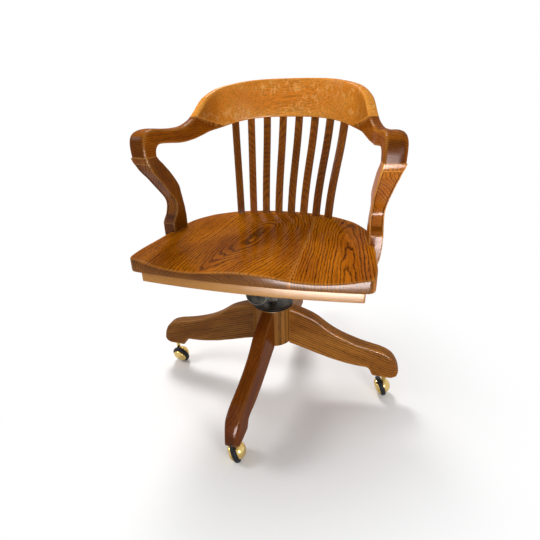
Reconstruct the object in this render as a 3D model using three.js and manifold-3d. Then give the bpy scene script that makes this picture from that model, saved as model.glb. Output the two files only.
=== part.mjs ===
// Bankers swivel chair in oak, iron and brass.
// Millimetres, +Z up, the chair's front towards -Y, origin on the swivel axis at the floor.
import * as THREE from 'three';
import { mergeVertices } from 'three/addons/utils/BufferGeometryUtils.js';
import Module from 'manifold-3d';

const wasm = await Module();
wasm.setup();

// Clearances
const TOUCH = 0.3; // left between pieces that touch
const OVERRUN = 4; // how far a cutter runs past what it cuts

// Seat board
const SEAT_TOP_Z = 464.5;
const SEAT_THICKNESS = 34;
const SEAT_HALF_WIDTH = 270;
const SEAT_FRONT_Y = -243.5;
const SEAT_BACK_Y = 188;
const SEAT_TOP_ROUND = 5;
const SEAT_LOWER_ROUND = 3;
const SCOOP_DEPTH = 17;
const SEAT_FRONT_DRIFT = -4; // the hand-shaped front stands this far to the left
const SEAT_BOTTOM_Z = SEAT_TOP_Z - SEAT_THICKNESS;
const SEAT_DEPTH = SEAT_BACK_Y - SEAT_FRONT_Y;
const SEAT_MIDDLE_Y = SEAT_FRONT_Y + SEAT_DEPTH / 2;
// right half of the outline, front to back: across over the half width, back over the depth
const seatOutlineShares = [
  [0, 0], [0.244, 0.0024], [0.489, 0.0095], [0.733, 0.0213], [0.9185, 0.0336], [0.97, 0.042],
  [0.994, 0.061], [1, 0.101], [1, 0.17], [0.987, 0.263], [0.972, 0.367], [0.952, 0.472],
  [0.928, 0.5875], [0.896, 0.678], [0.856, 0.736], [0.804, 0.789], [0.741, 0.841],
  [0.656, 0.884], [0.548, 0.928], [0.407, 0.964], [0.27, 0.986], [0.141, 0.9965], [0, 1],
];
// depth of the front edge's hollows from the middle out to the corner, over the scoop depth
const thighShares = [0.34, 0.4, 0.52, 0.72, 0.88, 0.96, 0.93, 0.8, 0.56, 0.24, 0];
const bowlRingShares = [0.92, 0.84, 0.74, 0.58, 0.38, 0.16];
const seatShoulderShare = 0.3; // where the top rounding bends
const bowlRimShares = [0.6, 0.9]; // where the bowl's rim begins and ends, from the middle out
const channelShares = [0.1, 0.5]; // the thigh channels fade into the bowl over this stretch

// Battens under the seat
const BATTEN_THICKNESS = 23;
const FRONT_BATTEN_HALF = 247;
const FRONT_BATTEN_DEPTH = 48;
const FRONT_BATTEN_SETBACK = 5;
const REAR_BATTEN_HALF = 165;
const REAR_BATTEN_DEPTH = 46;
const REAR_BATTEN_SETBACK = 102;
const REAR_BATTEN_FRONT_Y = SEAT_BACK_Y - REAR_BATTEN_SETBACK;
const BATTEN_ROUND = 3;
const BATTEN_BOTTOM_Z = SEAT_BOTTOM_Z - TOUCH - BATTEN_THICKNESS;

// Back rail: crest and both arms are cut from one bent shape
const RAIL_BACK_Y = 258;
const RAIL_HALF_WIDTH = 282.5;
const KNUCKLE_FRONT_Y = -112;
const ARM_WIDTH = 48;
const ARM_RISE = 212.5; // underside of the arms above the seat
const CREST_HEIGHT = 144;
const CREST_LEAN = 9;
const RAIL_TOP_ROUND = 8.5;
const RAIL_LOWER_ROUND = 4.5;
const KNUCKLE_ROUND = 16;
const knuckleRowShares = [9, 12]; // the outer top edge grows rounder between these rows
const railLeanRowShares = [2, 5]; // the crest's lean fades out between these rows
const KNUCKLE_DROP = 17;
const ARM_UNDER_Z = SEAT_TOP_Z + ARM_RISE;
const CREST_TOP_Z = ARM_UNDER_Z + CREST_HEIGHT;
const POST_TOP_Z = ARM_UNDER_Z - KNUCKLE_DROP;
const RAIL_DEPTH = RAIL_BACK_Y - KNUCKLE_FRONT_Y;
// middle line in plan from the back to the knuckle: across, forward, width over the arm's width
const railPlanShares = [
  [0, 0, 0.5], [0.212, 0.0095, 0.5], [0.389, 0.0486, 0.5], [0.545, 0.111, 0.5],
  [0.673, 0.199, 0.5], [0.754, 0.292, 0.52], [0.8, 0.386, 0.52], [0.835, 0.468, 0.54],
  [0.869, 0.549, 0.583], [0.892, 0.63, 0.708], [0.919, 0.7135, 0.833], [0.95, 0.805, 0.885],
  [0.979, 0.9, 0.95], [1, 1, 0.98],
];
// rungs of the rail: place of the underside along the plan, its height, place and height of the top
// heights are over the crest's height, measured from the underside of the arm
const railRungShares = [
  [0, 0.3125, 0, 1], [1, 0.3076, 1, 0.9958], [2, 0.2833, 2, 0.9757], [3, 0.2326, 3, 0.925],
  [4, 0.1563, 4, 0.85], [5, 0.111, 5, 0.72], [5.5, 0.0833, 5.5, 0.62], [6, 0.0556, 6, 0.505],
  [6.5, 0.0347, 6.5, 0.412], [7, 0.0174, 7, 0.343], [8, 0, 8, 0.2674], [9, 0.007, 9, 0.252],
  [10, 0.0313, 10, 0.26], [10.9, 0.0521, 10.95, 0.284], [11.3, 0.0521, 11.6, 0.298],
  [11.5, 0.038, 12.05, 0.294], [11.67, 0.007, 12.42, 0.27], [11.77, -0.038, 12.72, 0.213],
  [11.8, -0.07, 12.9, 0.12], [11.8, -0.095, 12.95, 0.02],
];
// rows where the knuckle runs down to its joint with the post, under and top
const knuckleJointShares = [11.8, 12.9];
const planStepShare = 0.02;
// the scarf that parts crest and arms rises towards the front: its height at one place, and its rise
// over the crest's height while it runs the rail's depth
const SCARF_FORWARD = 73;
const SCARF_HEIGHT_SHARE = 0.1875;
const SCARF_RISE_SHARE = 0.8839;
const SCARF_Y = RAIL_BACK_Y - SCARF_FORWARD;
const SCARF_Z = ARM_UNDER_Z + SCARF_HEIGHT_SHARE * CREST_HEIGHT;

// Arm posts
const POST_TOE_DROP = 19.5; // below the seat board
const POST_BOTTOM_Z = SEAT_BOTTOM_Z - POST_TOE_DROP;
const POST_REACH = 125;
const POST_FOOT_X = 244;
const POST_FLARE = 13;
const POST_SKEW = 10;
const POST_TOE_SHARE = 0.12;
const POST_FRONT_ROUND = 3;
const POST_REAR_ROUND = 4;
const FIELD_DEPTH = 2.5;
const FIELD_BORDER = 3.4;
const FIELD_DROP = 15; // from the knuckle's joint down to the field
const FIELD_LIFT = 32.5; // from the seat up to the field
const FIELD_TOP_Z = POST_TOP_Z - FIELD_DROP;
const FIELD_BOTTOM_Z = SEAT_TOP_Z + FIELD_LIFT;
const FIELD_ROWS = 9;
const POST_HEIGHT = POST_TOP_Z - POST_BOTTOM_Z;
// rows from the top down: height over the post's height, front and rear over the reach,
// inner face over the flare, width over the arm's width, turn of the front face over the skew
const postRowShares = [
  [1, 0.002, 0.32, 1.1, 0.97, 0.72], [0.96, 0.01, 0.378, 1, 0.935, 0.78],
  [0.92, 0.032, 0.457, 0.86, 0.893, 0.95], [0.88, 0.068, 0.526, 0.73, 0.867, 1],
  [0.84, 0.132, 0.607, 0.63, 0.833, 1], [0.78, 0.248, 0.708, 0.44, 0.804, 0.95],
  [0.72, 0.344, 0.793, 0.25, 0.779, 0.9], [0.66, 0.454, 0.87, 0.12, 0.735, 0.7],
  [0.6, 0.58, 0.916, 0.07, 0.69, 0.4], [0.54, 0.69, 0.958, 0.02, 0.654, 0.1],
  [0.48, 0.72, 0.978, -0.06, 0.648, 0], [0.42, 0.684, 0.994, -0.11, 0.665, 0],
  [0.38, 0.635, 0.995, -0.09, 0.665, 0.05], [0.34, 0.545, 1, -0.04, 0.662, 0.1],
  [0.31, 0.5, 1, 0, 0.66, 0.12], [0.19, 0.495, 1, 0, 0.646, 0.1], [0.08, 0.495, 1, 0, 0.598, 0.1],
  [0.03, 0.495, 0.995, 0, 0.53, 0.1], [0, 0.51, 0.98, 0, 0.43, 0.1],
];
const POST_SCREW_RADIUS = 3;
const POST_SCREW_HEAD_RADIUS = 5.5;
const POST_SCREW_HEAD = 3;
const POST_SCREW_DEEP = 22;
const POST_SCREW_RISE = 17.5;
const POST_SCREW_Z = SEAT_BOTTOM_Z + POST_SCREW_RISE;
const postScrewShares = [0.3, 0.7];

// Back slats
const SLAT_PAIRS = 4;
const SLAT_WIDTH = 20.5;
const SLAT_THICKNESS = 12;
const SLAT_ROUND = 2;
const SLAT_TENON = 14;
const SLAT_FOOT_PITCH = 37;
const SLAT_HEAD_PITCH = 46.5;
const SLAT_FOOT_ARC_RADIUS = 440;
const SLAT_FOOT_SETBACK = 21.5;
const SLAT_FOOT_BACK_Y = SEAT_BACK_Y - SLAT_FOOT_SETBACK;
// height over the slat's height, and how far the slat has gone from foot to head there
const slatCurveShares = [
  [0, 0], [0.107, 0.062], [0.226, 0.151], [0.387, 0.318], [0.548, 0.52], [0.705, 0.723],
  [0.866, 0.893], [1, 1],
];

// Spindle, height nut and swivel
const LEG_PAD_Z = 77;
const LEG_CROWN = 181; // top of the hub above the pads
const HUB_FOOT_SHARE = 0.3923; // bottom of the hub over that height
const HUB_TOP_Z = LEG_PAD_Z + LEG_CROWN;
const HUB_BOTTOM_Z = LEG_PAD_Z + HUB_FOOT_SHARE * LEG_CROWN;
const SPINDLE_RADIUS = 13;
const SPINDLE_LIFT = 20;
const SPINDLE_BOTTOM_Z = HUB_BOTTOM_Z + SPINDLE_LIFT;
const THRUST_WASHER_RADIUS = 55.5;
const THRUST_WASHER_THICKNESS = 3;
const NUT_RADIUS = 54.5;
const NUT_EDGE = 2.6;
const NUT_DOME = 3;
const NUT_HUB_RADIUS = 19;
// rim to crown: over the radius, over the dome's height
const nutDomeShares = [[0.94, 0.45], [0.7, 0.85]];
const BUSH_RADIUS = 17;
const BUSH_FLANGE_RADIUS = 27;
const BUSH_FLANGE_THICKNESS = 3;
const WASHER_TOP_Z = HUB_TOP_Z + TOUCH + THRUST_WASHER_THICKNESS;

// Tilt iron
const PIVOT_DROP = 31.5; // pivot below the seat board
const PIVOT_Z = SEAT_BOTTOM_Z - PIVOT_DROP;
const PIVOT_PIN_RADIUS = 6.5;
const PIVOT_HEAD_RADIUS = 9.5;
const PIVOT_HEAD = 3;
const PIVOT_BOSS_RADIUS = 14;
const PIVOT_BOSS_HALF = 32.6;
const HOUSING_DROP = 54;
const HOUSING_BOTTOM_Z = PIVOT_Z - HOUSING_DROP;
const HOUSING_RADIUS = 21;
const HOUSING_WEB_HALF = 17;
const SOCKET_DROP = 20;
const SOCKET_TOP_Z = PIVOT_Z - SOCKET_DROP;
const EAR_THICKNESS = 6;
const EAR_GAP = 0.5;
const earLobeShares = [0.7, 1.6]; // lobe's lower rear corner, and its spread at the plate
const IRON_THICKNESS = 5;
const IRON_HALF_WIDTH = 82;
const IRON_FRONT_Y = -112;
const IRON_REAR_Y = 76;
const IRON_ARM_WIDTH = 34;
const IRON_WAIST_HALF = 46;
const IRON_SCREW_RADIUS = 3;
const IRON_SCREW_HEAD_RADIUS = 6;
const IRON_SCREW_HEAD = 3.4;
const IRON_SCREW_DEEP = 12;
const CRANK_THICKNESS = 6;
const CRANK_DROP = 58;
const CRANK_BOTTOM_Z = PIVOT_Z - CRANK_DROP;
const CRANK_SLOT_CLEARANCE = 1.6;
const STUD_BOSS_RADIUS = 11;
const STUD_BOSS_LENGTH = 7;
const STUD_DROP = 38;
const STUD_Z = PIVOT_Z - STUD_DROP;
const STUD_RADIUS = 5;
const STUD_END_Y = -163;
const KNOB_FRONT_Y = -156;
const KNOB_RADIUS = 26;
const KNOB_RIM_DEPTH = 15;
const KNOB_WALL = 2.4;
const KNOB_HUB_RADIUS = 10;
const KNOB_HUB_LENGTH = 18;
const SPRING_WIRE_RADIUS = 2.4;
const SPRING_RADIUS = 13;
const SPRING_TURNS = 9; // the first and the last are closed up
const SPRING_CLOSED_GAP = 0.9;
const SPRING_STEPS = 8;
const SPRING_SIDES = 5;
const TENSION_WASHER_RADIUS = 17;
const TENSION_WASHER_THICKNESS = 3;

// Hub and legs
const BASE_YAW = THREE.MathUtils.degToRad(-2.2);
const HUB_RADIUS = 54;
const HUB_EDGE_ROUND = 2;
const LEG_HALF_THICKNESS = 17.5;
const LEG_TOE_HALF = 12;
const LEG_REACH = 351;
const LEG_TOP_ROUND = 8;
const LEG_LOWER_ROUND = 2.5;
const legToeShares = [0.93, 1.02]; // the toe narrows over this stretch of the reach
const TENON_HALF_THICKNESS = 7;
const TENON_LENGTH = 20;
const TENON_SHOULDER = 16;
// rungs of a leg: along and height of the underside, along and height of the top,
// along over the reach, height over the crown above the pad
const legRungShares = [
  [0.131, 0.373, 0.131, 0.997], [0.217, 0.334, 0.217, 0.947], [0.285, 0.296, 0.291, 0.898],
  [0.353, 0.257, 0.353, 0.84], [0.407, 0.229, 0.405, 0.768], [0.464, 0.199, 0.462, 0.693],
  [0.527, 0.174, 0.53, 0.624], [0.59, 0.152, 0.604, 0.568], [0.672, 0.135, 0.695, 0.513],
  [0.746, 0.13, 0.775, 0.477], [0.769, 0.122, 0.801, 0.467], [0.785, 0.097, 0.823, 0.459],
  [0.795, 0.062, 0.843, 0.45], [0.806, 0.02, 0.863, 0.438], [0.818, 0, 0.882, 0.426],
  [0.855, 0, 0.91, 0.4], [0.89, 0, 0.939, 0.36], [0.925, 0, 0.966, 0.296],
  [0.958, 0.004, 0.988, 0.208], [0.988, 0.03, 1, 0.11],
];

// Ball casters
const STEM_SETBACK = 34; // from the toe's tip
const STEM_CIRCLE_RADIUS = LEG_REACH - STEM_SETBACK;
const CASTER_TRAIL = 9;
const AXLE_TILT = THREE.MathUtils.degToRad(18);
const TYRE_RADIUS = 27.5;
const TYRE_WIDTH = 13;
const TYRE_DEPTH = 6;
const TYRE_EDGE = 3;
const TYRE_OFFSET = 4;
const BALL_RADIUS = 22.5;
const HOOD_WALL = 2.2;
const HOOD_BOSS_RADIUS = 6;
const HOOD_BOSS_FACE = -4.6;
const AXLE_RADIUS = 3;
const AXLE_BACK = -18;
const AXLE_FRONT = 14;
const WHEEL_DOME = 20;
const WHEEL_WALL = 2.4;
// crown to rim: over the tyre's seat, over the dome's height
const wheelDomeShares = [[0, 1], [0.42, 0.93], [0.78, 0.75]];
const WHEEL_HUB_RADIUS = 6.2;
const STEM_RADIUS = 4;
const STEM_LENGTH = 34;
const STEM_SHOULDER_RADIUS = 7;
const STEM_SHOULDER = 9;
const HORN_RADIUS = 5.6;
const HORN_DEEP = 12;
const SOCKET_WALL = 1.3;
const SOCKET_LENGTH = 38;
const SOCKET_FLANGE_RADIUS = 10.5;
const SOCKET_FLANGE = 1.6;
// which way each ball trails from its stem, and the side its axle points to: two mirrored pairs
const HEADINGS = [112, 108, 205, 350].map((degrees) => THREE.MathUtils.degToRad(degrees));
const HANDS = [1, 1, -1, -1];
const LEG_NAMES = ['front', 'right', 'rear', 'left'];

// Steps round a circle, along a shell's section and round a corner
const FINE = 28;
const ROUND = 16;
const SMALL = 8;
const SHELL_STEPS = 4;
const CORNER_STEPS = 1;
const cornerReachShare = 0.48; // a corner's rounding takes no more than this of a side
const QUARTER = Math.PI / 2;
const SIDES = [['left', -1], ['right', 1]];

// Materials
const finish = (color, roughness, metalness) => new THREE.MeshStandardMaterial(
  { color, roughness, metalness });
const oakSeat = finish(0x96551f, 0.35, 0);
const oakCrest = finish(0xb9732d, 0.35, 0);
const oakSlat = finish(0x7a4519, 0.4, 0);
const oakBase = finish(0x6e401e, 0.4, 0);
const paleOak = finish(0xd9a76a, 0.45, 0);
const iron = finish(0x2a2a28, 0.5, 0.9);
const steel = finish(0x9a9a96, 0.35, 1);
const brass = finish(0xc8a85a, 0.2, 1);
const rubber = finish(0x111214, 0.7, 0);
const felt = finish(0x0c0c0e, 0.8, 0);

// Small maths
const mix = (a, b, t) => a + (b - a) * t;
const vec = (x, y, z) => new THREE.Vector3(x, y, z);
function smooth(low, high, value) {
  const t = Math.min(1, Math.max(0, (value - low) / (high - low)));
  return t * t * (3 - 2 * t);
}
// value of an evenly spaced table at a place from 0 to 1
function evenly(table, place) {
  const at = Math.min(1, Math.max(0, place)) * (table.length - 1);
  const low = Math.min(Math.floor(at), table.length - 2);
  return mix(table[low], table[low + 1], at - low);
}
// Catmull-Rom curve through rows of numbers, at a place counted in rows
function through(rows, place) {
  const last = rows.length - 1;
  const at = Math.min(last, Math.max(0, place));
  const k = Math.min(Math.floor(at), last - 1);
  const t = at - k;
  const [p, q, r, s] = [k - 1, k, k + 1, k + 2].map((i) => rows[Math.min(last, Math.max(0, i))]);
  return q.map((_, n) => 0.5 * (2 * q[n] + (r[n] - p[n]) * t
    + (2 * p[n] - 5 * q[n] + 4 * r[n] - s[n]) * t * t + (3 * q[n] - p[n] - 3 * r[n] + s[n]) * t ** 3));
}
// second value of rising rows where their first value is given
function readRows(rows, value) {
  const after = Math.max(1, rows.findIndex(([first]) => first >= value));
  const [[a, va], [b, vb]] = [rows[after - 1], rows[after]];
  return mix(va, vb, (value - a) / (b - a));
}

// Solids
function toSolid(geometry) {
  const bare = geometry.clone();
  bare.deleteAttribute('normal');
  bare.deleteAttribute('uv');
  const merged = mergeVertices(bare);
  const vertProperties = Float32Array.from(merged.attributes.position.array);
  const triVerts = Uint32Array.from(merged.index.array);
  return new wasm.Manifold(new wasm.Mesh({ numProp: 3, vertProperties, triVerts }));
}
function toGeometry(solid) {
  const { vertProperties, triVerts } = solid.getMesh();
  const geometry = new THREE.BufferGeometry();
  geometry.setAttribute('position', new THREE.BufferAttribute(Float32Array.from(vertProperties), 3));
  geometry.setIndex([...triVerts]);
  geometry.computeVertexNormals();
  return geometry;
}
const join = (first, ...rest) => toGeometry(
  rest.reduce((whole, more) => whole.add(toSolid(more)), toSolid(first)));
const cut = (first, ...rest) => toGeometry(
  rest.reduce((whole, tool) => whole.subtract(toSolid(tool)), toSolid(first)));
const common = (first, second) => toGeometry(toSolid(first).intersect(toSolid(second)));

// closed skin over rings that all have the same number of points, its faces pointing out
function loft(rings) {
  const count = rings[0].length;
  const points = rings.flat();
  const index = [];
  for (let ring = 0; ring + 1 < rings.length; ring += 1) {
    for (let n = 0; n < count; n += 1) {
      const a = ring * count + n;
      const b = ring * count + (n + 1) % count;
      index.push(a, b, b + count, a, b + count, a + count);
    }
  }
  for (const [ring, turn] of [[0, true], [rings.length - 1, false]]) {
    const middle = points.length;
    points.push(rings[ring].reduce((sum, p) => sum.clone().add(p), vec(0, 0, 0)).divideScalar(count));
    for (let n = 0; n < count; n += 1) {
      const a = ring * count + n;
      const b = ring * count + (n + 1) % count;
      index.push(...(turn ? [middle, b, a] : [middle, a, b]));
    }
  }
  let volume = 0;
  for (let i = 0; i < index.length; i += 3) {
    const [a, b, c] = [points[index[i]], points[index[i + 1]], points[index[i + 2]]];
    volume += a.dot(b.clone().cross(c));
  }
  if (volume < 0) index.reverse();
  const geometry = new THREE.BufferGeometry();
  geometry.setAttribute('position', new THREE.Float32BufferAttribute(points.flatMap((p) => p.toArray()), 3));
  geometry.setIndex(index);
  geometry.computeVertexNormals();
  return geometry;
}
// ring round four corners, each rounded by its own radius with a short curve
function roundedRing(corners, radii) {
  const ring = [];
  corners.forEach((corner, n) => {
    const before = corners[(n + 3) % 4].clone().sub(corner);
    const after = corners[(n + 1) % 4].clone().sub(corner);
    const reach = Math.min(radii[n], before.length() * cornerReachShare, after.length() * cornerReachShare);
    const start = corner.clone().addScaledVector(before.normalize(), reach);
    const end = corner.clone().addScaledVector(after.normalize(), reach);
    const bend = new THREE.QuadraticBezierCurve3(start, corner.clone(), end);
    ring.push(...bend.getPoints(CORNER_STEPS));
  });
  return ring;
}
// turned solid about Z from [radius, height] points that begin and end on the axis or close
function turned(profile, steps = ROUND) {
  const points = profile.map(([radius, height]) => new THREE.Vector2(radius, height));
  const geometry = new THREE.LatheGeometry(points, steps);
  geometry.rotateX(QUARTER);
  const position = geometry.attributes.position;
  let volume = 0;
  const corner = [vec(0, 0, 0), vec(0, 0, 0), vec(0, 0, 0)];
  for (let i = 0; i < geometry.index.count; i += 3) {
    corner.forEach((p, n) => p.fromBufferAttribute(position, geometry.index.getX(i + n)));
    volume += corner[0].dot(corner[1].clone().cross(corner[2]));
  }
  if (volume < 0) geometry.setIndex([...geometry.index.array].reverse());
  return geometry;
}
const rod = (radius, low, high, steps = ROUND) => turned(
  [[0, low], [radius, low], [radius, high], [0, high]], steps);
const tube = (inner, outer, low, high, steps = ROUND) => turned(
  [[inner, low], [outer, low], [outer, high], [inner, high], [inner, low]], steps);
const block = (low, high) => new THREE.BoxGeometry(high.x - low.x, high.y - low.y, high.z - low.z)
  .translate((low.x + high.x) / 2, (low.y + high.y) / 2, (low.z + high.z) / 2);
// flat outline of [x, y] points raised from one height to another
function plate(outline, low, high) {
  const shape = new THREE.Shape(outline.map(([x, y]) => new THREE.Vector2(x, y)));
  const options = { depth: high - low, bevelEnabled: false, steps: 1 };
  return new THREE.ExtrudeGeometry(shape, options).translate(0, 0, low);
}
// a solid made upright about Z, laid along +Y or +X, or mirrored left to right
const alongY = (geometry) => geometry.rotateX(-QUARTER);
const alongX = (geometry) => geometry.rotateY(QUARTER);
const mirrored = (geometry) => toGeometry(toSolid(geometry).mirror([1, 0, 0]));
const sided = (geometry, side) => (side > 0 ? geometry : mirrored(geometry));

const chair = new THREE.Group();
function add(name, geometry, material, parent = chair) {
  const mesh = new THREE.Mesh(geometry, material);
  mesh.name = name;
  parent.add(mesh);
  return mesh;
}

// Rail shared by crest and arms: middle line in plan, then a rung at each row
const planRows = [...railPlanShares.slice(1).reverse().map(([x, y, w]) => [-x, y, w]), ...railPlanShares]
  .map(([x, y, w]) => [x * RAIL_HALF_WIDTH, RAIL_BACK_Y - y * RAIL_DEPTH, w * ARM_WIDTH]);
const planMiddle = railPlanShares.length - 1;
const planAt = (place) => through(planRows, place + planMiddle);
function planNormal(place) {
  const [ax, ay] = planAt(place - planStepShare);
  const [bx, by] = planAt(place + planStepShare);
  return vec(ay - by, bx - ax, 0).normalize();
}
function railCorners([underPlace, under, topPlace, top]) {
  const [ux, uy, uw] = planAt(underPlace);
  const [tx, ty, tw] = planAt(topPlace);
  const underNormal = planNormal(underPlace);
  const topNormal = planNormal(topPlace);
  const lean = CREST_LEAN * (1 - smooth(...railLeanRowShares, Math.abs(topPlace)));
  const low = vec(ux, uy, ARM_UNDER_Z + under * CREST_HEIGHT);
  const high = vec(tx, ty, ARM_UNDER_Z + top * CREST_HEIGHT).addScaledVector(topNormal, lean);
  return [
    low.clone().addScaledVector(underNormal, -uw / 2), low.clone().addScaledVector(underNormal, uw / 2),
    high.clone().addScaledVector(topNormal, tw / 2), high.clone().addScaledVector(topNormal, -tw / 2),
  ];
}
const jointHeightShare = (POST_TOP_Z - ARM_UNDER_Z) / CREST_HEIGHT;
const [jointUnder, jointTop] = knuckleJointShares;
const halfRungs = [...railRungShares, [jointUnder, jointHeightShare, jointTop, jointHeightShare]];
const rungRows = [...halfRungs.slice(1).reverse().map(([u, uz, t, tz]) => [-u, uz, -t, tz]), ...halfRungs];
function railRadii(topPlace) {
  const outer = mix(RAIL_TOP_ROUND, KNUCKLE_ROUND, smooth(...knuckleRowShares, Math.abs(topPlace)));
  return [RAIL_LOWER_ROUND, RAIL_LOWER_ROUND, outer, RAIL_TOP_ROUND];
}
function railSolid() {
  const rings = [];
  for (let place = 0; place <= rungRows.length - 1; place += 0.5) {
    const rung = through(rungRows, place);
    rings.push(roundedRing(railCorners(rung), railRadii(rung[2])));
  }
  return loft(rings);
}
const scarfZ = (y) => SCARF_Z + SCARF_RISE_SHARE * CREST_HEIGHT * (SCARF_Y - y) / RAIL_DEPTH;
// everything above or below the sloping scarf
function scarfSide(upper, gap) {
  const wide = RAIL_HALF_WIDTH * 2;
  const [front, back] = [KNUCKLE_FRONT_Y - RAIL_DEPTH, RAIL_BACK_Y + RAIL_DEPTH];
  const far = upper ? CREST_TOP_Z * 2 : -CREST_TOP_Z;
  const edge = (y) => scarfZ(y) + (upper ? gap : -gap);
  const ring = (x) => [
    vec(x, front, edge(front)), vec(x, back, edge(back)), vec(x, back, far), vec(x, front, far)];
  return loft([ring(-wide), ring(wide)]);
}
// height of the crest's underside at a place on the plan
const crestUnder = (place) => ARM_UNDER_Z + CREST_HEIGHT * readRows(railRungShares, place);

// Slats
function slatEnds(pair) {
  const footArc = (pair + 0.5) * SLAT_FOOT_PITCH;
  const turn = footArc / SLAT_FOOT_ARC_RADIUS;
  const foot = vec(SLAT_FOOT_ARC_RADIUS * Math.sin(turn),
    SLAT_FOOT_BACK_Y - SLAT_FOOT_ARC_RADIUS * (1 - Math.cos(turn)), SEAT_TOP_Z);
  const wanted = (pair + 0.5) * SLAT_HEAD_PITCH;
  let place = 0;
  let run = 0;
  while (run < wanted) {
    const [ax, ay] = planAt(place);
    const [bx, by] = planAt(place + planStepShare);
    run += Math.hypot(bx - ax, by - ay);
    place += planStepShare;
  }
  const [x, y] = planAt(place);
  return [foot, vec(x, y, crestUnder(place))];
}
function slatSolid(pair, grow) {
  const [foot, head] = slatEnds(pair);
  const along = vec(head.x - foot.x, head.y - foot.y, 0).normalize();
  const across = vec(along.y, -along.x, 0);
  const half = SLAT_WIDTH / 2 + grow;
  const deep = SLAT_THICKNESS / 2 + grow;
  const ringAt = (share, z) => {
    const middle = vec(mix(foot.x, head.x, share), mix(foot.y, head.y, share), z);
    const corners = [[-half, -deep], [half, -deep], [half, deep], [-half, deep]].map(
      ([a, b]) => middle.clone().addScaledVector(across, a).addScaledVector(along, b));
    return roundedRing(corners, corners.map(() => SLAT_ROUND));
  };
  const [lastHeight, lastShare] = slatCurveShares[slatCurveShares.length - 2];
  const slope = (1 - lastShare) / (head.z - mix(foot.z, head.z, lastHeight));
  const rings = slatCurveShares.map(([height, share]) => ringAt(share, mix(foot.z, head.z, height)));
  rings.unshift(ringAt(0, foot.z - SLAT_TENON - grow));
  rings.push(ringAt(1 + slope * SLAT_TENON, head.z + SLAT_TENON + grow));
  return loft(rings);
}

// Posts
function postCorners([height, front, rear, inner, width, turn], grow) {
  const z = POST_BOTTOM_Z + height * POST_HEIGHT;
  const frontY = KNUCKLE_FRONT_Y + front * POST_REACH - grow;
  const rearY = KNUCKLE_FRONT_Y + rear * POST_REACH + grow;
  const innerX = POST_FOOT_X + inner * POST_FLARE - grow;
  const wide = width * ARM_WIDTH + 2 * grow;
  const toe = POST_TOE_SHARE * (rearY - frontY);
  const skew = turn * POST_SKEW;
  return [
    vec(innerX, frontY, z), vec(innerX + wide, frontY + skew, z),
    vec(innerX + wide - toe, rearY + skew, z), vec(innerX - toe, rearY, z),
  ];
}
const postRadii = [POST_FRONT_ROUND, POST_FRONT_ROUND, POST_REAR_ROUND, POST_REAR_ROUND];
const postShareAt = (z) => (z - POST_BOTTOM_Z) / POST_HEIGHT;
// all six numbers of a post row at a height
function postRowAt(z) {
  const share = postShareAt(z);
  const after = Math.max(1, postRowShares.findIndex(([height]) => height <= share));
  const [above, below] = [postRowShares[after - 1], postRowShares[after]];
  const t = (share - above[0]) / (below[0] - above[0]);
  return above.map((value, n) => mix(value, below[n], t));
}
function postSolid() {
  const rings = postRowShares.map((row, n) => {
    const corners = postCorners(row, 0);
    if (n === 0) corners.forEach((corner) => { corner.z -= TOUCH; });
    return roundedRing(corners, postRadii);
  });
  const fieldRings = [];
  for (let n = 0; n <= FIELD_ROWS; n += 1) {
    const z = mix(FIELD_TOP_Z, FIELD_BOTTOM_Z, n / FIELD_ROWS);
    const [frontInner, frontOuter] = postCorners(postRowAt(z), 0);
    const across = frontOuter.clone().sub(frontInner).normalize();
    const inner = frontInner.clone().addScaledVector(across, FIELD_BORDER);
    const outer = frontOuter.clone().addScaledVector(across, -FIELD_BORDER);
    const back = vec(0, FIELD_DEPTH, 0);
    const ahead = vec(0, -OVERRUN, 0);
    fieldRings.push([
      inner.clone().add(ahead), outer.clone().add(ahead), outer.clone().add(back), inner.clone().add(back)]);
  }
  return cut(loft(rings), loft(fieldRings), ...postScrews(TOUCH));
}
// clearance for the foot of the post in the seat's edge, open to the side
function footNotch() {
  const [frontInner, frontOuter, rearOuter, rearInner] = postCorners(postRowAt(POST_SCREW_Z), TOUCH);
  const outward = SEAT_HALF_WIDTH / ARM_WIDTH;
  const around = [
    frontInner, frontInner.clone().lerp(frontOuter, outward),
    rearInner.clone().lerp(rearOuter, outward), rearInner,
  ];
  const at = (z) => around.map((corner) => corner.clone().setZ(z));
  return loft([at(SEAT_BOTTOM_Z - OVERRUN), at(SEAT_TOP_Z + OVERRUN)]);
}
function screwSolid(radius, headRadius, head, deep, grow) {
  const start = grow > 0 ? -OVERRUN : 0;
  return turned([
    [0, start], [headRadius + grow, start], [headRadius + grow, head + grow],
    [radius + grow, head + grow], [radius + grow, deep + grow], [0, deep + grow],
  ], SMALL);
}
// screws from the outside of the post's foot into the seat, heads let in flush
function postScrews(grow) {
  const [frontInner, frontOuter, rearOuter] = postCorners(postRowAt(POST_SCREW_Z), 0);
  const inward = frontInner.clone().sub(frontOuter).normalize();
  return postScrewShares.map((share) => {
    const sunk = TOUCH + POST_SCREW_HEAD / 2;
    const start = frontOuter.clone().lerp(rearOuter, share).addScaledVector(inward, sunk);
    const deep = POST_SCREW_DEEP + ARM_WIDTH / 2;
    const screw = screwSolid(POST_SCREW_RADIUS, POST_SCREW_HEAD_RADIUS, POST_SCREW_HEAD, deep, grow);
    const turn = new THREE.Quaternion().setFromUnitVectors(vec(0, 0, 1), inward);
    return screw.applyQuaternion(turn).translate(start.x, start.y, start.z);
  });
}

// Seat
const outlineHalf = seatOutlineShares.map(([x, y]) => [x * SEAT_HALF_WIDTH, SEAT_FRONT_Y + y * SEAT_DEPTH]);
const outline = [...outlineHalf, ...outlineHalf.slice(1, -1).reverse().map(([x, y]) => [-x, y])];
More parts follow.
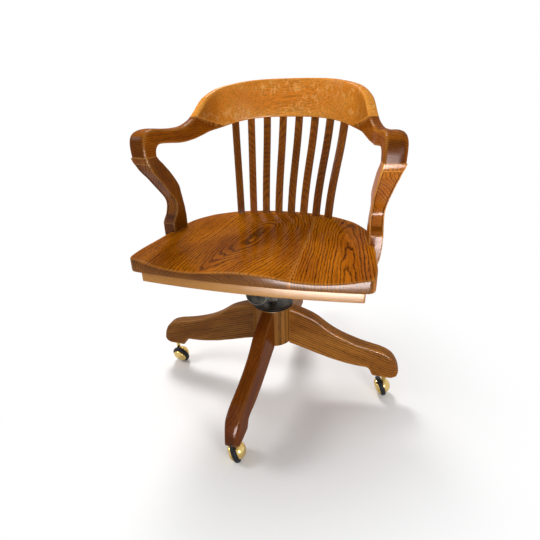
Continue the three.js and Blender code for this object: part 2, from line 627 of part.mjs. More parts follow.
// the hollow: a bowl inside a flat rim that runs out through the front edge as two thigh channels
function scoop(x, y, ring) {
  const across = Math.abs(x) / SEAT_HALF_WIDTH;
  const back = (y - SEAT_FRONT_Y) / SEAT_DEPTH;
  const channel = 1 - smooth(...channelShares, back);
  return SCOOP_DEPTH * mix(1 - smooth(...bowlRimShares, ring), evenly(thighShares, across), channel);
}
function seatRing(ring, z, hollow) {
  return outline.map(([x, y]) => {
    const py = mix(SEAT_MIDDLE_Y, y, ring);
    const px = x * ring + SEAT_FRONT_DRIFT * (1 - smooth(SEAT_FRONT_Y, SEAT_MIDDLE_Y, py));
    return vec(px, py, hollow ? z - scoop(px, py, ring) : z);
  });
}
const inset = (length) => 1 - length / SEAT_HALF_WIDTH;
function seatSolid() {
  const shoulder = SEAT_TOP_ROUND * seatShoulderShare;
  const rings = [
    seatRing(inset(SEAT_LOWER_ROUND), SEAT_BOTTOM_Z, false),
    seatRing(1, SEAT_BOTTOM_Z + SEAT_LOWER_ROUND, false),
    seatRing(1, SEAT_TOP_Z - SEAT_TOP_ROUND, true),
    seatRing(inset(shoulder), SEAT_TOP_Z - shoulder, true),
    seatRing(inset(SEAT_TOP_ROUND), SEAT_TOP_Z, true),
    ...bowlRingShares.map((share) => seatRing(share, SEAT_TOP_Z, true)),
  ];
  const mortises = [];
  for (let pair = 0; pair < SLAT_PAIRS; pair += 1) {
    const slat = slatSolid(pair, TOUCH);
    mortises.push(slat, mirrored(slat));
  }
  const screwHoles = postScrews(TOUCH);
  const notch = footNotch();
  const tools = [notch, mirrored(notch), ...screwHoles, ...screwHoles.map(mirrored), ...ironScrews(TOUCH)];
  return cut(loft(rings), ...mortises, ...tools);
}

// Battens
function frontBatten() {
  const bow = outlineHalf.slice(0, 4).map(([x, y]) => [x, y + FRONT_BATTEN_SETBACK]);
  const cornerY = outlineHalf[4][1] + FRONT_BATTEN_SETBACK;
  const rearY = SEAT_FRONT_Y + FRONT_BATTEN_SETBACK + FRONT_BATTEN_DEPTH;
  const half = [
    ...bow, [FRONT_BATTEN_HALF - BATTEN_ROUND, cornerY], [FRONT_BATTEN_HALF, cornerY + BATTEN_ROUND],
    [FRONT_BATTEN_HALF, rearY],
  ];
  const around = [...half, ...half.slice(1).reverse().map(([x, y]) => [-x, y])];
  return plate(around, BATTEN_BOTTOM_Z, SEAT_BOTTOM_Z - TOUCH);
}
function rearBatten() {
  const [x, front, rear] = [REAR_BATTEN_HALF, REAR_BATTEN_FRONT_Y, REAR_BATTEN_FRONT_Y + REAR_BATTEN_DEPTH];
  const half = [
    [x - BATTEN_ROUND, front], [x, front + BATTEN_ROUND], [x, rear - BATTEN_ROUND], [x - BATTEN_ROUND, rear]];
  const around = [...half, ...half.map(([across, y]) => [-across, y]).reverse()];
  return plate(around, BATTEN_BOTTOM_Z, SEAT_BOTTOM_Z - TOUCH);
}

// Seat iron: H-shaped plate under the seat, two ears on the pivot and a forked crank in front
const ironTopZ = SEAT_BOTTOM_Z - TOUCH;
const ironUnderZ = ironTopZ - IRON_THICKNESS;
const earInner = PIVOT_BOSS_HALF + EAR_GAP;
const earOuter = earInner + EAR_THICKNESS;
const bossFrontY = -(HOUSING_RADIUS + STUD_BOSS_LENGTH);
const crankBackY = bossFrontY - TOUCH;
const crankFrontY = crankBackY - CRANK_THICKNESS;
function ironScrews(grow) {
  const places = [];
  for (const y of [IRON_FRONT_Y + IRON_ARM_WIDTH / 2, IRON_REAR_Y - IRON_ARM_WIDTH / 2]) {
    for (const x of [-1, 1]) places.push([x * (IRON_HALF_WIDTH - IRON_ARM_WIDTH / 2), y]);
  }
  const head = IRON_SCREW_HEAD;
  const deep = head + TOUCH + IRON_THICKNESS + IRON_SCREW_DEEP;
  return places.map(([x, y]) => screwSolid(IRON_SCREW_RADIUS, IRON_SCREW_HEAD_RADIUS, head, deep, grow)
    .translate(x, y, ironUnderZ - TOUCH - head));
}
function seatIron() {
  const [w, n, a] = [IRON_HALF_WIDTH, IRON_WAIST_HALF, IRON_ARM_WIDTH];
  const half = [
    [w, IRON_FRONT_Y], [w, IRON_FRONT_Y + a], [n, IRON_FRONT_Y + 2 * a], [n, IRON_REAR_Y - 2 * a],
    [w, IRON_REAR_Y - a], [w, IRON_REAR_Y],
  ];
  const flat = plate([...half, ...half.map(([x, y]) => [-x, y]).reverse()], ironUnderZ, ironTopZ);
  const lobe = PIVOT_BOSS_RADIUS + EAR_THICKNESS / 2;
  const [corner, spread] = earLobeShares.map((share) => share * lobe);
  const earShape = [
    [crankFrontY, CRANK_BOTTOM_Z], [crankBackY, CRANK_BOTTOM_Z], [-lobe, PIVOT_Z - lobe], [0, PIVOT_Z - lobe],
    [corner, PIVOT_Z - corner], [lobe, PIVOT_Z], [spread, ironTopZ], [crankFrontY - lobe, ironTopZ],
    [crankFrontY, PIVOT_Z],
  ];
  // outline in y and z, raised along x
  const ear = plate(earShape, earInner, earOuter).rotateZ(QUARTER).rotateY(QUARTER);
  const crank = block(vec(-earOuter, crankFrontY, CRANK_BOTTOM_Z), vec(earOuter, crankBackY, PIVOT_Z));
  const slot = STUD_RADIUS + CRANK_SLOT_CLEARANCE;
  const slotTool = join(
    block(vec(-slot, crankFrontY - OVERRUN, CRANK_BOTTOM_Z - OVERRUN),
      vec(slot, crankBackY + OVERRUN, STUD_Z)),
    alongY(rod(slot, crankFrontY - OVERRUN, crankBackY + OVERRUN, SMALL)).translate(0, 0, STUD_Z));
  const pinHole = alongX(rod(PIVOT_PIN_RADIUS + TOUCH, -earOuter - OVERRUN, earOuter + OVERRUN))
    .translate(0, 0, PIVOT_Z);
  return cut(join(flat, ear, mirrored(ear), crank), slotTool, pinHole, ...ironScrews(TOUCH));
}

// Tilt housing: socket on the spindle's head, pivot boss across its top, stud boss in front
function tiltHousing() {
  const body = rod(HOUSING_RADIUS, HOUSING_BOTTOM_Z, PIVOT_Z);
  const boss = alongX(rod(PIVOT_BOSS_RADIUS, -PIVOT_BOSS_HALF, PIVOT_BOSS_HALF)).translate(0, 0, PIVOT_Z);
  const web = block(vec(-HOUSING_WEB_HALF, -PIVOT_BOSS_RADIUS, SOCKET_TOP_Z),
    vec(HOUSING_WEB_HALF, PIVOT_BOSS_RADIUS, PIVOT_Z + PIVOT_BOSS_RADIUS / 2));
  const studBoss = alongY(rod(STUD_BOSS_RADIUS, bossFrontY, -SPINDLE_RADIUS)).translate(0, 0, STUD_Z);
  const socket = rod(SPINDLE_RADIUS + TOUCH, HOUSING_BOTTOM_Z - OVERRUN, SOCKET_TOP_Z + TOUCH);
  const pinHole = alongX(rod(PIVOT_PIN_RADIUS + TOUCH, -PIVOT_BOSS_HALF - OVERRUN, PIVOT_BOSS_HALF + OVERRUN))
    .translate(0, 0, PIVOT_Z);
  const studHole = alongY(rod(STUD_RADIUS + TOUCH, bossFrontY - OVERRUN, 0, SMALL)).translate(0, 0, STUD_Z);
  return cut(join(body, boss, web, studBoss), socket, pinHole, studHole);
}
const studRearY = -(SPINDLE_RADIUS + 2 * TOUCH);
const knobRearY = KNOB_FRONT_Y + KNOB_HUB_LENGTH;
const washerFrontY = knobRearY + TOUCH;
const washerRearY = washerFrontY + TENSION_WASHER_THICKNESS;
const springFrontY = washerRearY + TOUCH;
const springRearY = crankFrontY - TOUCH;
function tensionKnob() {
  const bore = STUD_RADIUS + TOUCH;
  const inner = KNOB_RADIUS - KNOB_WALL;
  const floor = KNOB_WALL * 2;
  const profile = [
    [bore, 0], [inner, 0], [KNOB_RADIUS, KNOB_WALL], [KNOB_RADIUS, KNOB_RIM_DEPTH], [inner, KNOB_RIM_DEPTH],
    [inner, floor], [KNOB_HUB_RADIUS, floor], [KNOB_HUB_RADIUS, KNOB_HUB_LENGTH], [bore, KNOB_HUB_LENGTH],
    [bore, 0],
  ];
  return alongY(turned(profile)).translate(0, KNOB_FRONT_Y, STUD_Z);
}
// how near a tube comes to itself: least distance between points of rings that lie half a turn or more apart
function leastGap(rings) {
  let least = Infinity;
  rings.forEach((ring, n) => {
    const later = rings.slice(n + SPRING_STEPS / 2).flat();
    ring.forEach((p) => later.forEach((q) => { least = Math.min(least, p.distanceTo(q)); }));
  });
  return least;
}
// coil about the stud, one unbroken tube, its end turns closed up
function tensionSpring() {
  const closed = 2 * SPRING_WIRE_RADIUS + SPRING_CLOSED_GAP;
  const length = springRearY - springFrontY - 2 * SPRING_WIRE_RADIUS;
  const open = (length - 2 * closed) / (SPRING_TURNS - 2);
  const rings = [];
  for (let n = 0; n <= SPRING_TURNS * SPRING_STEPS; n += 1) {
    const turns = n / SPRING_STEPS;
    const closedTurns = Math.min(1, turns) + Math.max(0, turns - (SPRING_TURNS - 1));
    const outward = vec(Math.cos(turns * 4 * QUARTER), 0, Math.sin(turns * 4 * QUARTER));
    const y = springFrontY + SPRING_WIRE_RADIUS + closed * closedTurns + open * (turns - closedTurns);
    const middle = outward.clone().multiplyScalar(SPRING_RADIUS).add(vec(0, y, STUD_Z));
    const ring = [];
    for (let k = 0; k < SPRING_SIDES; k += 1) {
      const around = (k / SPRING_SIDES) * 4 * QUARTER;
      ring.push(middle.clone().addScaledVector(outward, SPRING_WIRE_RADIUS * Math.cos(around))
        .add(vec(0, SPRING_WIRE_RADIUS * Math.sin(around), 0)));
    }
    rings.push(ring);
  }
  console.log(`tension_spring: least gap to itself ${leastGap(rings).toFixed(2)} mm`);
  return loft(rings);
}
function pivotPin() {
  const end = earOuter + EAR_GAP;
  return alongX(turned([
    [0, -end - PIVOT_HEAD], [PIVOT_HEAD_RADIUS, -end - PIVOT_HEAD], [PIVOT_HEAD_RADIUS, -end],
    [PIVOT_PIN_RADIUS, -end], [PIVOT_PIN_RADIUS, end], [PIVOT_HEAD_RADIUS, end],
    [PIVOT_HEAD_RADIUS, end + PIVOT_HEAD], [0, end + PIVOT_HEAD],
  ])).translate(0, 0, PIVOT_Z);
}

// Height nut: shallow dome on the thrust washer, the spindle passing through
function heightNut() {
  const bore = SPINDLE_RADIUS + TOUCH;
  const low = WASHER_TOP_Z + TOUCH;
  const rim = low + NUT_EDGE;
  return turned([
    [bore, low], [NUT_RADIUS - NUT_EDGE / 2, low], [NUT_RADIUS, low + NUT_EDGE / 2], [NUT_RADIUS, rim],
    ...nutDomeShares.map(([out, up]) => [NUT_RADIUS * out, rim + NUT_DOME * up]),
    [NUT_HUB_RADIUS, rim + NUT_DOME], [bore, rim + NUT_DOME], [bore, low],
  ], FINE);
}

// Hub, bush and legs
function bush() {
  const bore = SPINDLE_RADIUS + TOUCH;
  const low = HUB_BOTTOM_Z - TOUCH;
  return turned([
    [bore, low - BUSH_FLANGE_THICKNESS], [BUSH_FLANGE_RADIUS, low - BUSH_FLANGE_THICKNESS],
    [BUSH_FLANGE_RADIUS, low], [BUSH_RADIUS, low], [BUSH_RADIUS, HUB_TOP_Z], [bore, HUB_TOP_Z],
    [bore, low - BUSH_FLANGE_THICKNESS],
  ]);
}
const legYaw = (k) => -QUARTER + BASE_YAW + k * QUARTER;
const tenonLowZ = HUB_BOTTOM_Z + TENON_SHOULDER;
const tenonHighZ = HUB_TOP_Z - TENON_SHOULDER;
function tenonBlock(grow, farEnd) {
  return block(vec(HUB_RADIUS - TENON_LENGTH - grow, -TENON_HALF_THICKNESS - grow, tenonLowZ - grow),
    vec(farEnd, TENON_HALF_THICKNESS + grow, tenonHighZ + grow));
}
function hub() {
  const edge = HUB_EDGE_ROUND;
  const bore = BUSH_RADIUS + TOUCH;
  const body = turned([
    [bore, HUB_BOTTOM_Z], [HUB_RADIUS - edge, HUB_BOTTOM_Z], [HUB_RADIUS, HUB_BOTTOM_Z + edge],
    [HUB_RADIUS, HUB_TOP_Z - edge], [HUB_RADIUS - edge, HUB_TOP_Z], [bore, HUB_TOP_Z], [bore, HUB_BOTTOM_Z],
  ], FINE);
  const mortises = LEG_NAMES.map((_, k) => tenonBlock(TOUCH, HUB_RADIUS + OVERRUN).rotateZ(legYaw(k)));
  return cut(body, ...mortises);
}
// the leg is thinned where it meets the hub
function legPoint(along, height, side) {
  const half = mix(LEG_HALF_THICKNESS, LEG_TOE_HALF, smooth(...legToeShares, along));
  return vec(along * LEG_REACH, side * half, LEG_PAD_Z + height * LEG_CROWN);
}
function leg() {
  const radii = [LEG_LOWER_ROUND, LEG_LOWER_ROUND, LEG_TOP_ROUND, LEG_TOP_ROUND];
  const rings = legRungShares.map(([under, underHeight, top, topHeight]) => roundedRing([
    legPoint(under, underHeight, -1), legPoint(under, underHeight, 1),
    legPoint(top, topHeight, 1), legPoint(top, topHeight, -1),
  ], radii));
  const shoulder = cut(loft(rings), rod(HUB_RADIUS + TOUCH, 0, CREST_TOP_Z, FINE));
  const tenon = tenonBlock(0, HUB_RADIUS + TENON_LENGTH / 2);
  const hole = rod(STEM_RADIUS + SOCKET_WALL + 2 * TOUCH, LEG_PAD_Z - OVERRUN,
    LEG_PAD_Z + SOCKET_LENGTH + TOUCH).translate(STEM_CIRCLE_RADIUS, 0, 0);
  return cut(join(shoulder, tenon), hole);
}

// Casters, about a stem on Z; the ball trails along +X and the axle points to +Y and down
const axleTurn = new THREE.Quaternion().setFromUnitVectors(
  vec(0, 0, 1), vec(0, Math.cos(AXLE_TILT), -Math.sin(AXLE_TILT)));
const tyreBack = TYRE_OFFSET - TYRE_WIDTH / 2;
const tyreFront = TYRE_OFFSET + TYRE_WIDTH / 2;
const tyreSeat = TYRE_RADIUS - TYRE_DEPTH;
const tyreProfile = [
  [tyreSeat, tyreBack], [TYRE_RADIUS - TYRE_EDGE, tyreBack], [TYRE_RADIUS, tyreBack + TYRE_EDGE],
  [TYRE_RADIUS, tyreFront - TYRE_EDGE], [TYRE_RADIUS - TYRE_EDGE, tyreFront], [tyreSeat, tyreFront],
  [tyreSeat, tyreBack],
];
// height of the ball's centre that puts the tyre's lowest point on the floor
const ballZ = Math.max(...tyreProfile.map(
  ([radius, along]) => radius * Math.cos(AXLE_TILT) + along * Math.sin(AXLE_TILT)));
const onAxle = (geometry) => geometry.applyQuaternion(axleTurn).translate(CASTER_TRAIL, 0, ballZ);
const socketFlangeTop = LEG_PAD_Z - TOUCH;
const shoulderTopZ = socketFlangeTop - SOCKET_FLANGE - TOUCH;
// points on a sphere about the ball's centre, from one angle off the rear pole to another
function spherePoints(radius, from, to) {
  const points = [];
  for (let n = 0; n <= SHELL_STEPS; n += 1) {
    const angle = mix(from, to, n / SHELL_STEPS);
    points.push([radius * Math.sin(angle), -radius * Math.cos(angle)]);
  }
  return points;
}
function casterHood() {
  const edge = tyreBack - TOUCH;
  const inner = BALL_RADIUS - HOOD_WALL;
  const outerStop = Math.acos(-edge / BALL_RADIUS);
  const innerStop = Math.acos(-edge / inner);
  const innerStart = Math.asin(HOOD_BOSS_RADIUS / inner);
  const bore = AXLE_RADIUS + TOUCH;
  const shell = onAxle(turned([
    ...spherePoints(BALL_RADIUS, 0, outerStop), ...spherePoints(inner, innerStop, innerStart),
    [HOOD_BOSS_RADIUS, HOOD_BOSS_FACE], [bore, HOOD_BOSS_FACE],
    [bore, AXLE_BACK - TOUCH], [0, AXLE_BACK - TOUCH],
  ]));
  const horn = rod(HORN_RADIUS, ballZ + HORN_DEEP, shoulderTopZ - STEM_SHOULDER / 2, SMALL);
  const shoulder = rod(STEM_SHOULDER_RADIUS, shoulderTopZ - STEM_SHOULDER, shoulderTopZ, SMALL);
  const stem = rod(STEM_RADIUS, shoulderTopZ - STEM_SHOULDER / 2, LEG_PAD_Z + STEM_LENGTH, SMALL);
  const wheelRoom = onAxle(rod(TYRE_RADIUS + 2 * TOUCH, edge, TYRE_RADIUS));
  return join(cut(join(shell, horn), wheelRoom), shoulder, stem);
}
function casterWheel() {
  const seat = tyreSeat - TOUCH;
  const bore = AXLE_RADIUS + TOUCH;
  const hubBack = HOOD_BOSS_FACE + TOUCH;
  return onAxle(turned([
    ...wheelDomeShares.map(([out, up]) => [seat * out, WHEEL_DOME * up]),
    [seat, tyreFront], [seat, tyreBack + TOUCH], [seat - WHEEL_WALL, tyreBack + TOUCH],
    [seat - WHEEL_WALL, tyreFront - WHEEL_WALL], [WHEEL_HUB_RADIUS, tyreFront + TOUCH],
    [WHEEL_HUB_RADIUS, hubBack], [bore, hubBack],
    [bore, AXLE_FRONT + TOUCH], [0, AXLE_FRONT + TOUCH],
  ]));
}
function casterSocket() {
  const bore = STEM_RADIUS + TOUCH;
  const outer = bore + SOCKET_WALL;
  const low = socketFlangeTop - SOCKET_FLANGE;
  const high = LEG_PAD_Z + SOCKET_LENGTH;
  return turned([
    [bore, low], [SOCKET_FLANGE_RADIUS, low], [SOCKET_FLANGE_RADIUS, socketFlangeTop],
    [outer, socketFlangeTop], [outer, high], [bore, high], [bore, low],
  ], SMALL);
}

// Upper part
add('seat', seatSolid(), oakSeat);
add('front_batten', frontBatten(), paleOak);
add('rear_batten', rearBatten(), paleOak);
const rail = railSolid();
const slatTools = [];
for (let pair = 0; pair < SLAT_PAIRS; pair += 1) {
  const slat = slatSolid(pair, 0);
  const tool = slatSolid(pair, TOUCH);
  slatTools.push(tool, mirrored(tool));
  add(`slat_left_${pair + 1}`, mirrored(slat), oakSlat);
  add(`slat_right_${pair + 1}`, slat, oakSlat);
}
add('crest_rail', cut(common(rail, scarfSide(true, TOUCH / 2)), ...slatTools), oakCrest);
const arms = common(rail, scarfSide(false, TOUCH / 2));
const farSide = vec(RAIL_HALF_WIDTH * 2, RAIL_BACK_Y * 2, CREST_TOP_Z * 2);
const rightArm = common(arms, block(vec(0, -farSide.y, 0), farSide));
const rightPost = postSolid();
for (const [word, side] of SIDES) {
  add(`arm_${word}`, sided(rightArm, side), oakCrest);
  add(`post_${word}`, sided(rightPost, side), oakCrest);
  postScrews(0).forEach((screw, n) => add(`post_screw_${word}_${n + 1}`, sided(screw, side), steel));
}

// Tilt iron
add('seat_iron', seatIron(), iron);
ironScrews(0).forEach((screw, n) => add(`iron_screw_${n + 1}`, screw, steel));
add('tilt_housing', tiltHousing(), iron);
add('pivot_pin', pivotPin(), steel);
add('tension_stud', alongY(rod(STUD_RADIUS, STUD_END_Y, studRearY, SMALL)).translate(0, 0, STUD_Z), steel);
add('tension_spring', tensionSpring(), steel);
add('tension_washer', alongY(tube(STUD_RADIUS + TOUCH, TENSION_WASHER_RADIUS, washerFrontY, washerRearY))
  .translate(0, 0, STUD_Z), steel);
add('tension_knob', tensionKnob(), iron);

// Height and swivel
add('spindle', rod(SPINDLE_RADIUS, SPINDLE_BOTTOM_Z, SOCKET_TOP_Z), steel);
add('height_nut', heightNut(), iron);
const washerBore = SPINDLE_RADIUS + 2 * TOUCH;
add('thrust_washer', tube(washerBore, THRUST_WASHER_RADIUS, HUB_TOP_Z + TOUCH, WASHER_TOP_Z, FINE), felt);

// Base
add('spindle_bush', bush(), iron);
add('hub', hub(), oakBase);
const legSolid = leg();
LEG_NAMES.forEach((name, k) => {
  const spoke = new THREE.Group();
  spoke.rotation.z = legYaw(k);
  chair.add(spoke);
  add(`leg_${name}`, legSolid, oakBase, spoke);
  const stem = new THREE.Group();
  stem.position.set(STEM_CIRCLE_RADIUS, 0, 0);
  stem.rotation.z = HEADINGS[k] - legYaw(k);
  spoke.add(stem);
  const handed = (geometry) => (HANDS[k] > 0 ? geometry : toGeometry(toSolid(geometry).mirror([0, 1, 0])));
  add(`caster_socket_${name}`, casterSocket(), steel, stem);
  add(`caster_hood_${name}`, handed(casterHood()), brass, stem);
  add(`caster_axle_${name}`, handed(onAxle(rod(AXLE_RADIUS, AXLE_BACK, AXLE_FRONT, SMALL))), steel, stem);
  add(`caster_wheel_${name}`, handed(casterWheel()), brass, stem);
  add(`caster_tyre_${name}`, handed(onAxle(turned(tyreProfile))), rubber, stem);
});

export default chair;
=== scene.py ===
import math

import bmesh
import bpy
import numpy as np
from mathutils import Matrix, Vector


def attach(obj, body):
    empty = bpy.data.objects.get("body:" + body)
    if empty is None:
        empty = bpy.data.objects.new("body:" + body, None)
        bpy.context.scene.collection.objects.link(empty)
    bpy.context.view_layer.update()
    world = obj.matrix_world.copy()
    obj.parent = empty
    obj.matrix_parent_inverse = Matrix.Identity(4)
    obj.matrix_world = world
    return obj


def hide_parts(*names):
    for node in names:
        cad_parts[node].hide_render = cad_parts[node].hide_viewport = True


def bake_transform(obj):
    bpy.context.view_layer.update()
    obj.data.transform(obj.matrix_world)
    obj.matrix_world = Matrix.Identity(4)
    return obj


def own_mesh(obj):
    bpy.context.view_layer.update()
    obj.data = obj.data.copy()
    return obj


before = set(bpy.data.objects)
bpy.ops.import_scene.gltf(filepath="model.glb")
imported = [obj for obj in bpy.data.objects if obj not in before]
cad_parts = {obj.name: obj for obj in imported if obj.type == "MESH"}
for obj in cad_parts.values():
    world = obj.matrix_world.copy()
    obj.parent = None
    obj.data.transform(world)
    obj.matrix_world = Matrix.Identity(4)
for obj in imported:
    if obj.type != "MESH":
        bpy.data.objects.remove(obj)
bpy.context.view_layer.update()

MM = 0.001
TOUCH = 0.3

# Camera at the photograph's viewing angle, millimetres and degrees
CAMERA_PLACE = (242.4, -941.8, 808.8)
CAMERA_AZIMUTH = 14.76
CAMERA_ELEVATION = 24.94
CAMERA_ROLL = -1.35
CAMERA_LENS = 26.74
CAMERA_SENSOR = 36

# Seat board
SEAT_TOP = 464.5
SEAT_THICKNESS = 34
SEAT_HALF_WIDTH = 270
SEAT_FRONT = -243.5
SEAT_BACK = 188
SEAT_TOP_ROUND = 5
SEAT_LOWER_ROUND = 3
SEAT_FRONT_DRIFT = -4
SCOOP_DEPTH = 17
SEAT_BOTTOM = SEAT_TOP - SEAT_THICKNESS
SEAT_DEPTH = SEAT_BACK - SEAT_FRONT
SEAT_MIDDLE = SEAT_FRONT + SEAT_DEPTH / 2
# right half of the outline, front to back: across over the half width, back over the depth
SEAT_OUTLINE_SHARES = (
    (0, 0), (0.244, 0.0024), (0.489, 0.0095), (0.733, 0.0213), (0.9185, 0.0336), (0.97, 0.042),
    (0.994, 0.061), (1, 0.101), (1, 0.17), (0.987, 0.263), (0.972, 0.367), (0.952, 0.472),
    (0.928, 0.5875), (0.896, 0.678), (0.856, 0.736), (0.804, 0.789), (0.741, 0.841),
    (0.656, 0.884), (0.548, 0.928), (0.407, 0.964), (0.27, 0.986), (0.141, 0.9965), (0, 1),
)
# depth of the front edge's hollows from the middle out to the corner, over the scoop depth
THIGH_SHARES = (0.34, 0.4, 0.52, 0.72, 0.88, 0.96, 0.93, 0.8, 0.56, 0.24, 0)
BOWL_RIM_SHARES = (0.6, 0.9)
CHANNEL_SHARES = (0.1, 0.5)

# Battens
BATTEN_THICKNESS = 23
BATTEN_ROUND = 2.5
FRONT_BATTEN_HALF = 247
FRONT_BATTEN_DEPTH = 48
FRONT_BATTEN_SETBACK = 5
REAR_BATTEN_HALF = 165
REAR_BATTEN_FRONT = 86
REAR_BATTEN_DEPTH = 46

# Back rail: the crest and both arms
RAIL_BACK = 258
RAIL_HALF_WIDTH = 282.5
KNUCKLE_FRONT = -112
ARM_WIDTH = 48
ARM_UNDER = 677
CREST_TOP = 821
CREST_LEAN = 9
RAIL_TOP_ROUND = 8.5
RAIL_LOWER_ROUND = 4.5
KNUCKLE_ROUND = 16
KNUCKLE_ROW_SHARES = (9, 12)
POST_TOP = 660
RAIL_DEPTH = RAIL_BACK - KNUCKLE_FRONT
CREST_HEIGHT = CREST_TOP - ARM_UNDER
# middle line in plan from the back to the knuckle: across, forward, width over the arm's width
RAIL_PLAN_SHARES = (
    (0, 0, 0.5), (0.212, 0.0095, 0.5), (0.389, 0.0486, 0.5), (0.545, 0.111, 0.5),
    (0.673, 0.199, 0.5), (0.754, 0.292, 0.52), (0.8, 0.386, 0.52), (0.835, 0.468, 0.54),
    (0.869, 0.549, 0.583), (0.892, 0.63, 0.708), (0.919, 0.7135, 0.833), (0.95, 0.805, 0.885),
    (0.979, 0.9, 0.95), (1, 1, 0.98),
)
# rungs of the rail: place of the underside along the plan, its height, place and height of the top
RAIL_RUNG_SHARES = (
    (0, 0.3125, 0, 1), (1, 0.3076, 1, 0.9958), (2, 0.2833, 2, 0.9757), (3, 0.2326, 3, 0.925),
    (4, 0.1563, 4, 0.85), (5, 0.111, 5, 0.72), (5.5, 0.0833, 5.5, 0.62), (6, 0.0556, 6, 0.505),
    (6.5, 0.0347, 6.5, 0.412), (7, 0.0174, 7, 0.343), (8, 0, 8, 0.2674), (9, 0.007, 9, 0.252),
    (10, 0.0313, 10, 0.26), (10.9, 0.0521, 10.95, 0.284), (11.3, 0.0521, 11.6, 0.298),
    (11.5, 0.038, 12.05, 0.294), (11.67, 0.007, 12.42, 0.27), (11.77, -0.038, 12.72, 0.213),
    (11.8, -0.07, 12.9, 0.12), (11.8, -0.095, 12.95, 0.02),
    (11.8, (POST_TOP - ARM_UNDER) / CREST_HEIGHT, 12.9, (POST_TOP - ARM_UNDER) / CREST_HEIGHT),
)
RAIL_LEAN_ROW_SHARES = (2, 5)
PLAN_STEP_SHARE = 0.02
SCARF_Y = 185
SCARF_Z = 704
SCARF_RISE_SHARE = 0.344

# Arm posts
POST_BOTTOM = 411
POST_REACH = 125
POST_FOOT_X = 244
POST_FLARE = 13
POST_SKEW = 10
POST_TOE_SHARE = 0.12
POST_ROUNDS = (3, 3, 4, 4)
FIELD_DEPTH = 2.2
FIELD_BORDER = 3.4
FIELD_TOP = 645
FIELD_BOTTOM = 497
POST_HEIGHT = POST_TOP - POST_BOTTOM
# rows from the top down: height over the post's height, front and rear over the reach,
# inner face over the flare, width over the arm's width, turn of the front face over the skew
POST_ROW_SHARES = (
    (1, 0.002, 0.32, 1.1, 0.97, 0.72), (0.96, 0.01, 0.378, 1, 0.935, 0.78),
    (0.92, 0.032, 0.457, 0.86, 0.893, 0.95), (0.88, 0.068, 0.526, 0.73, 0.867, 1),
    (0.84, 0.132, 0.607, 0.63, 0.833, 1), (0.78, 0.248, 0.708, 0.44, 0.804, 0.95),
    (0.72, 0.344, 0.793, 0.25, 0.779, 0.9), (0.66, 0.454, 0.87, 0.12, 0.735, 0.7),
    (0.6, 0.58, 0.916, 0.07, 0.69, 0.4), (0.54, 0.69, 0.958, 0.02, 0.654, 0.1),
    (0.48, 0.72, 0.978, -0.06, 0.648, 0), (0.42, 0.684, 0.994, -0.11, 0.665, 0),
    (0.38, 0.635, 0.995, -0.09, 0.665, 0.05), (0.34, 0.545, 1, -0.04, 0.662, 0.1),
    (0.31, 0.5, 1, 0, 0.66, 0.12), (0.19, 0.495, 1, 0, 0.646, 0.1), (0.08, 0.495, 1, 0, 0.598, 0.1),
    (0.03, 0.495, 0.995, 0, 0.53, 0.1), (0, 0.51, 0.98, 0, 0.43, 0.1),
)
POST_SHOULDER_ROW = 14
POST_SCREW_Z = 448
POST_SCREW_RADIUS = 3
POST_SCREW_HEAD_RADIUS = 5.5
POST_SCREW_HEAD = 3
POST_SCREW_DEEP = 22
POST_SCREW_SHARES = (0.3, 0.7)
# lengths over which the sunken field's wall, foot and head fall, and over which the painted shade fades in
# its corner and above the seat
FIELD_WALL = 1.2
FIELD_FOOT_RUN = 8
FIELD_HEAD_RUN = 1.5
FIELD_SHADE_RUN = (0.6, 2.6)
SEAT_SHADE_RUN = 60
SEAT_SHADE_SHARE = 0.5

# Back slats
SLAT_PAIRS = 4
SLAT_WIDTH = 20.5
SLAT_THICKNESS = 12
SLAT_ROUND = 2.2
SLAT_TENON = 14
SLAT_FOOT_PITCH = 37
SLAT_HEAD_PITCH = 46.5
SLAT_FOOT_ARC_RADIUS = 440
SLAT_FOOT_BACK = 166.5
SLAT_HEAD_ROWS = 6
SLAT_CURVE_SHARES = (
    (0, 0), (0.107, 0.062), (0.226, 0.151), (0.387, 0.318), (0.548, 0.52), (0.705, 0.723),
    (0.866, 0.893), (1, 1),
)

# Spindle, height nut and swivel
HUB_TOP = 258
SPINDLE_RADIUS = 13
SPINDLE_BOTTOM = 168
SPINDLE_TOP = 379
SPINDLE_PITCH = 6.35
SPINDLE_THREAD = 1.6
# flanks of a thread as shares of a turn, and how far a plain end is turned down, as a share of its depth
THREAD_FLANK_SHARES = ((0.12, 0.4), (0.6, 0.88))
THREAD_END_SHARE = 0.2
THRUST_WASHER_RADIUS = 55.5
THRUST_WASHER_THICKNESS = 3
NUT_RADIUS = 54.5
NUT_EDGE = 2.6
NUT_DOME = 3
NUT_HUB_RADIUS = 19
NUT_DOME_SHARES = ((0.94, 0.45), (0.7, 0.85))
BUSH_RADIUS = 17
BUSH_FLANGE_RADIUS = 27
BUSH_FLANGE_THICKNESS = 3
WASHER_TOP = HUB_TOP + TOUCH + THRUST_WASHER_THICKNESS

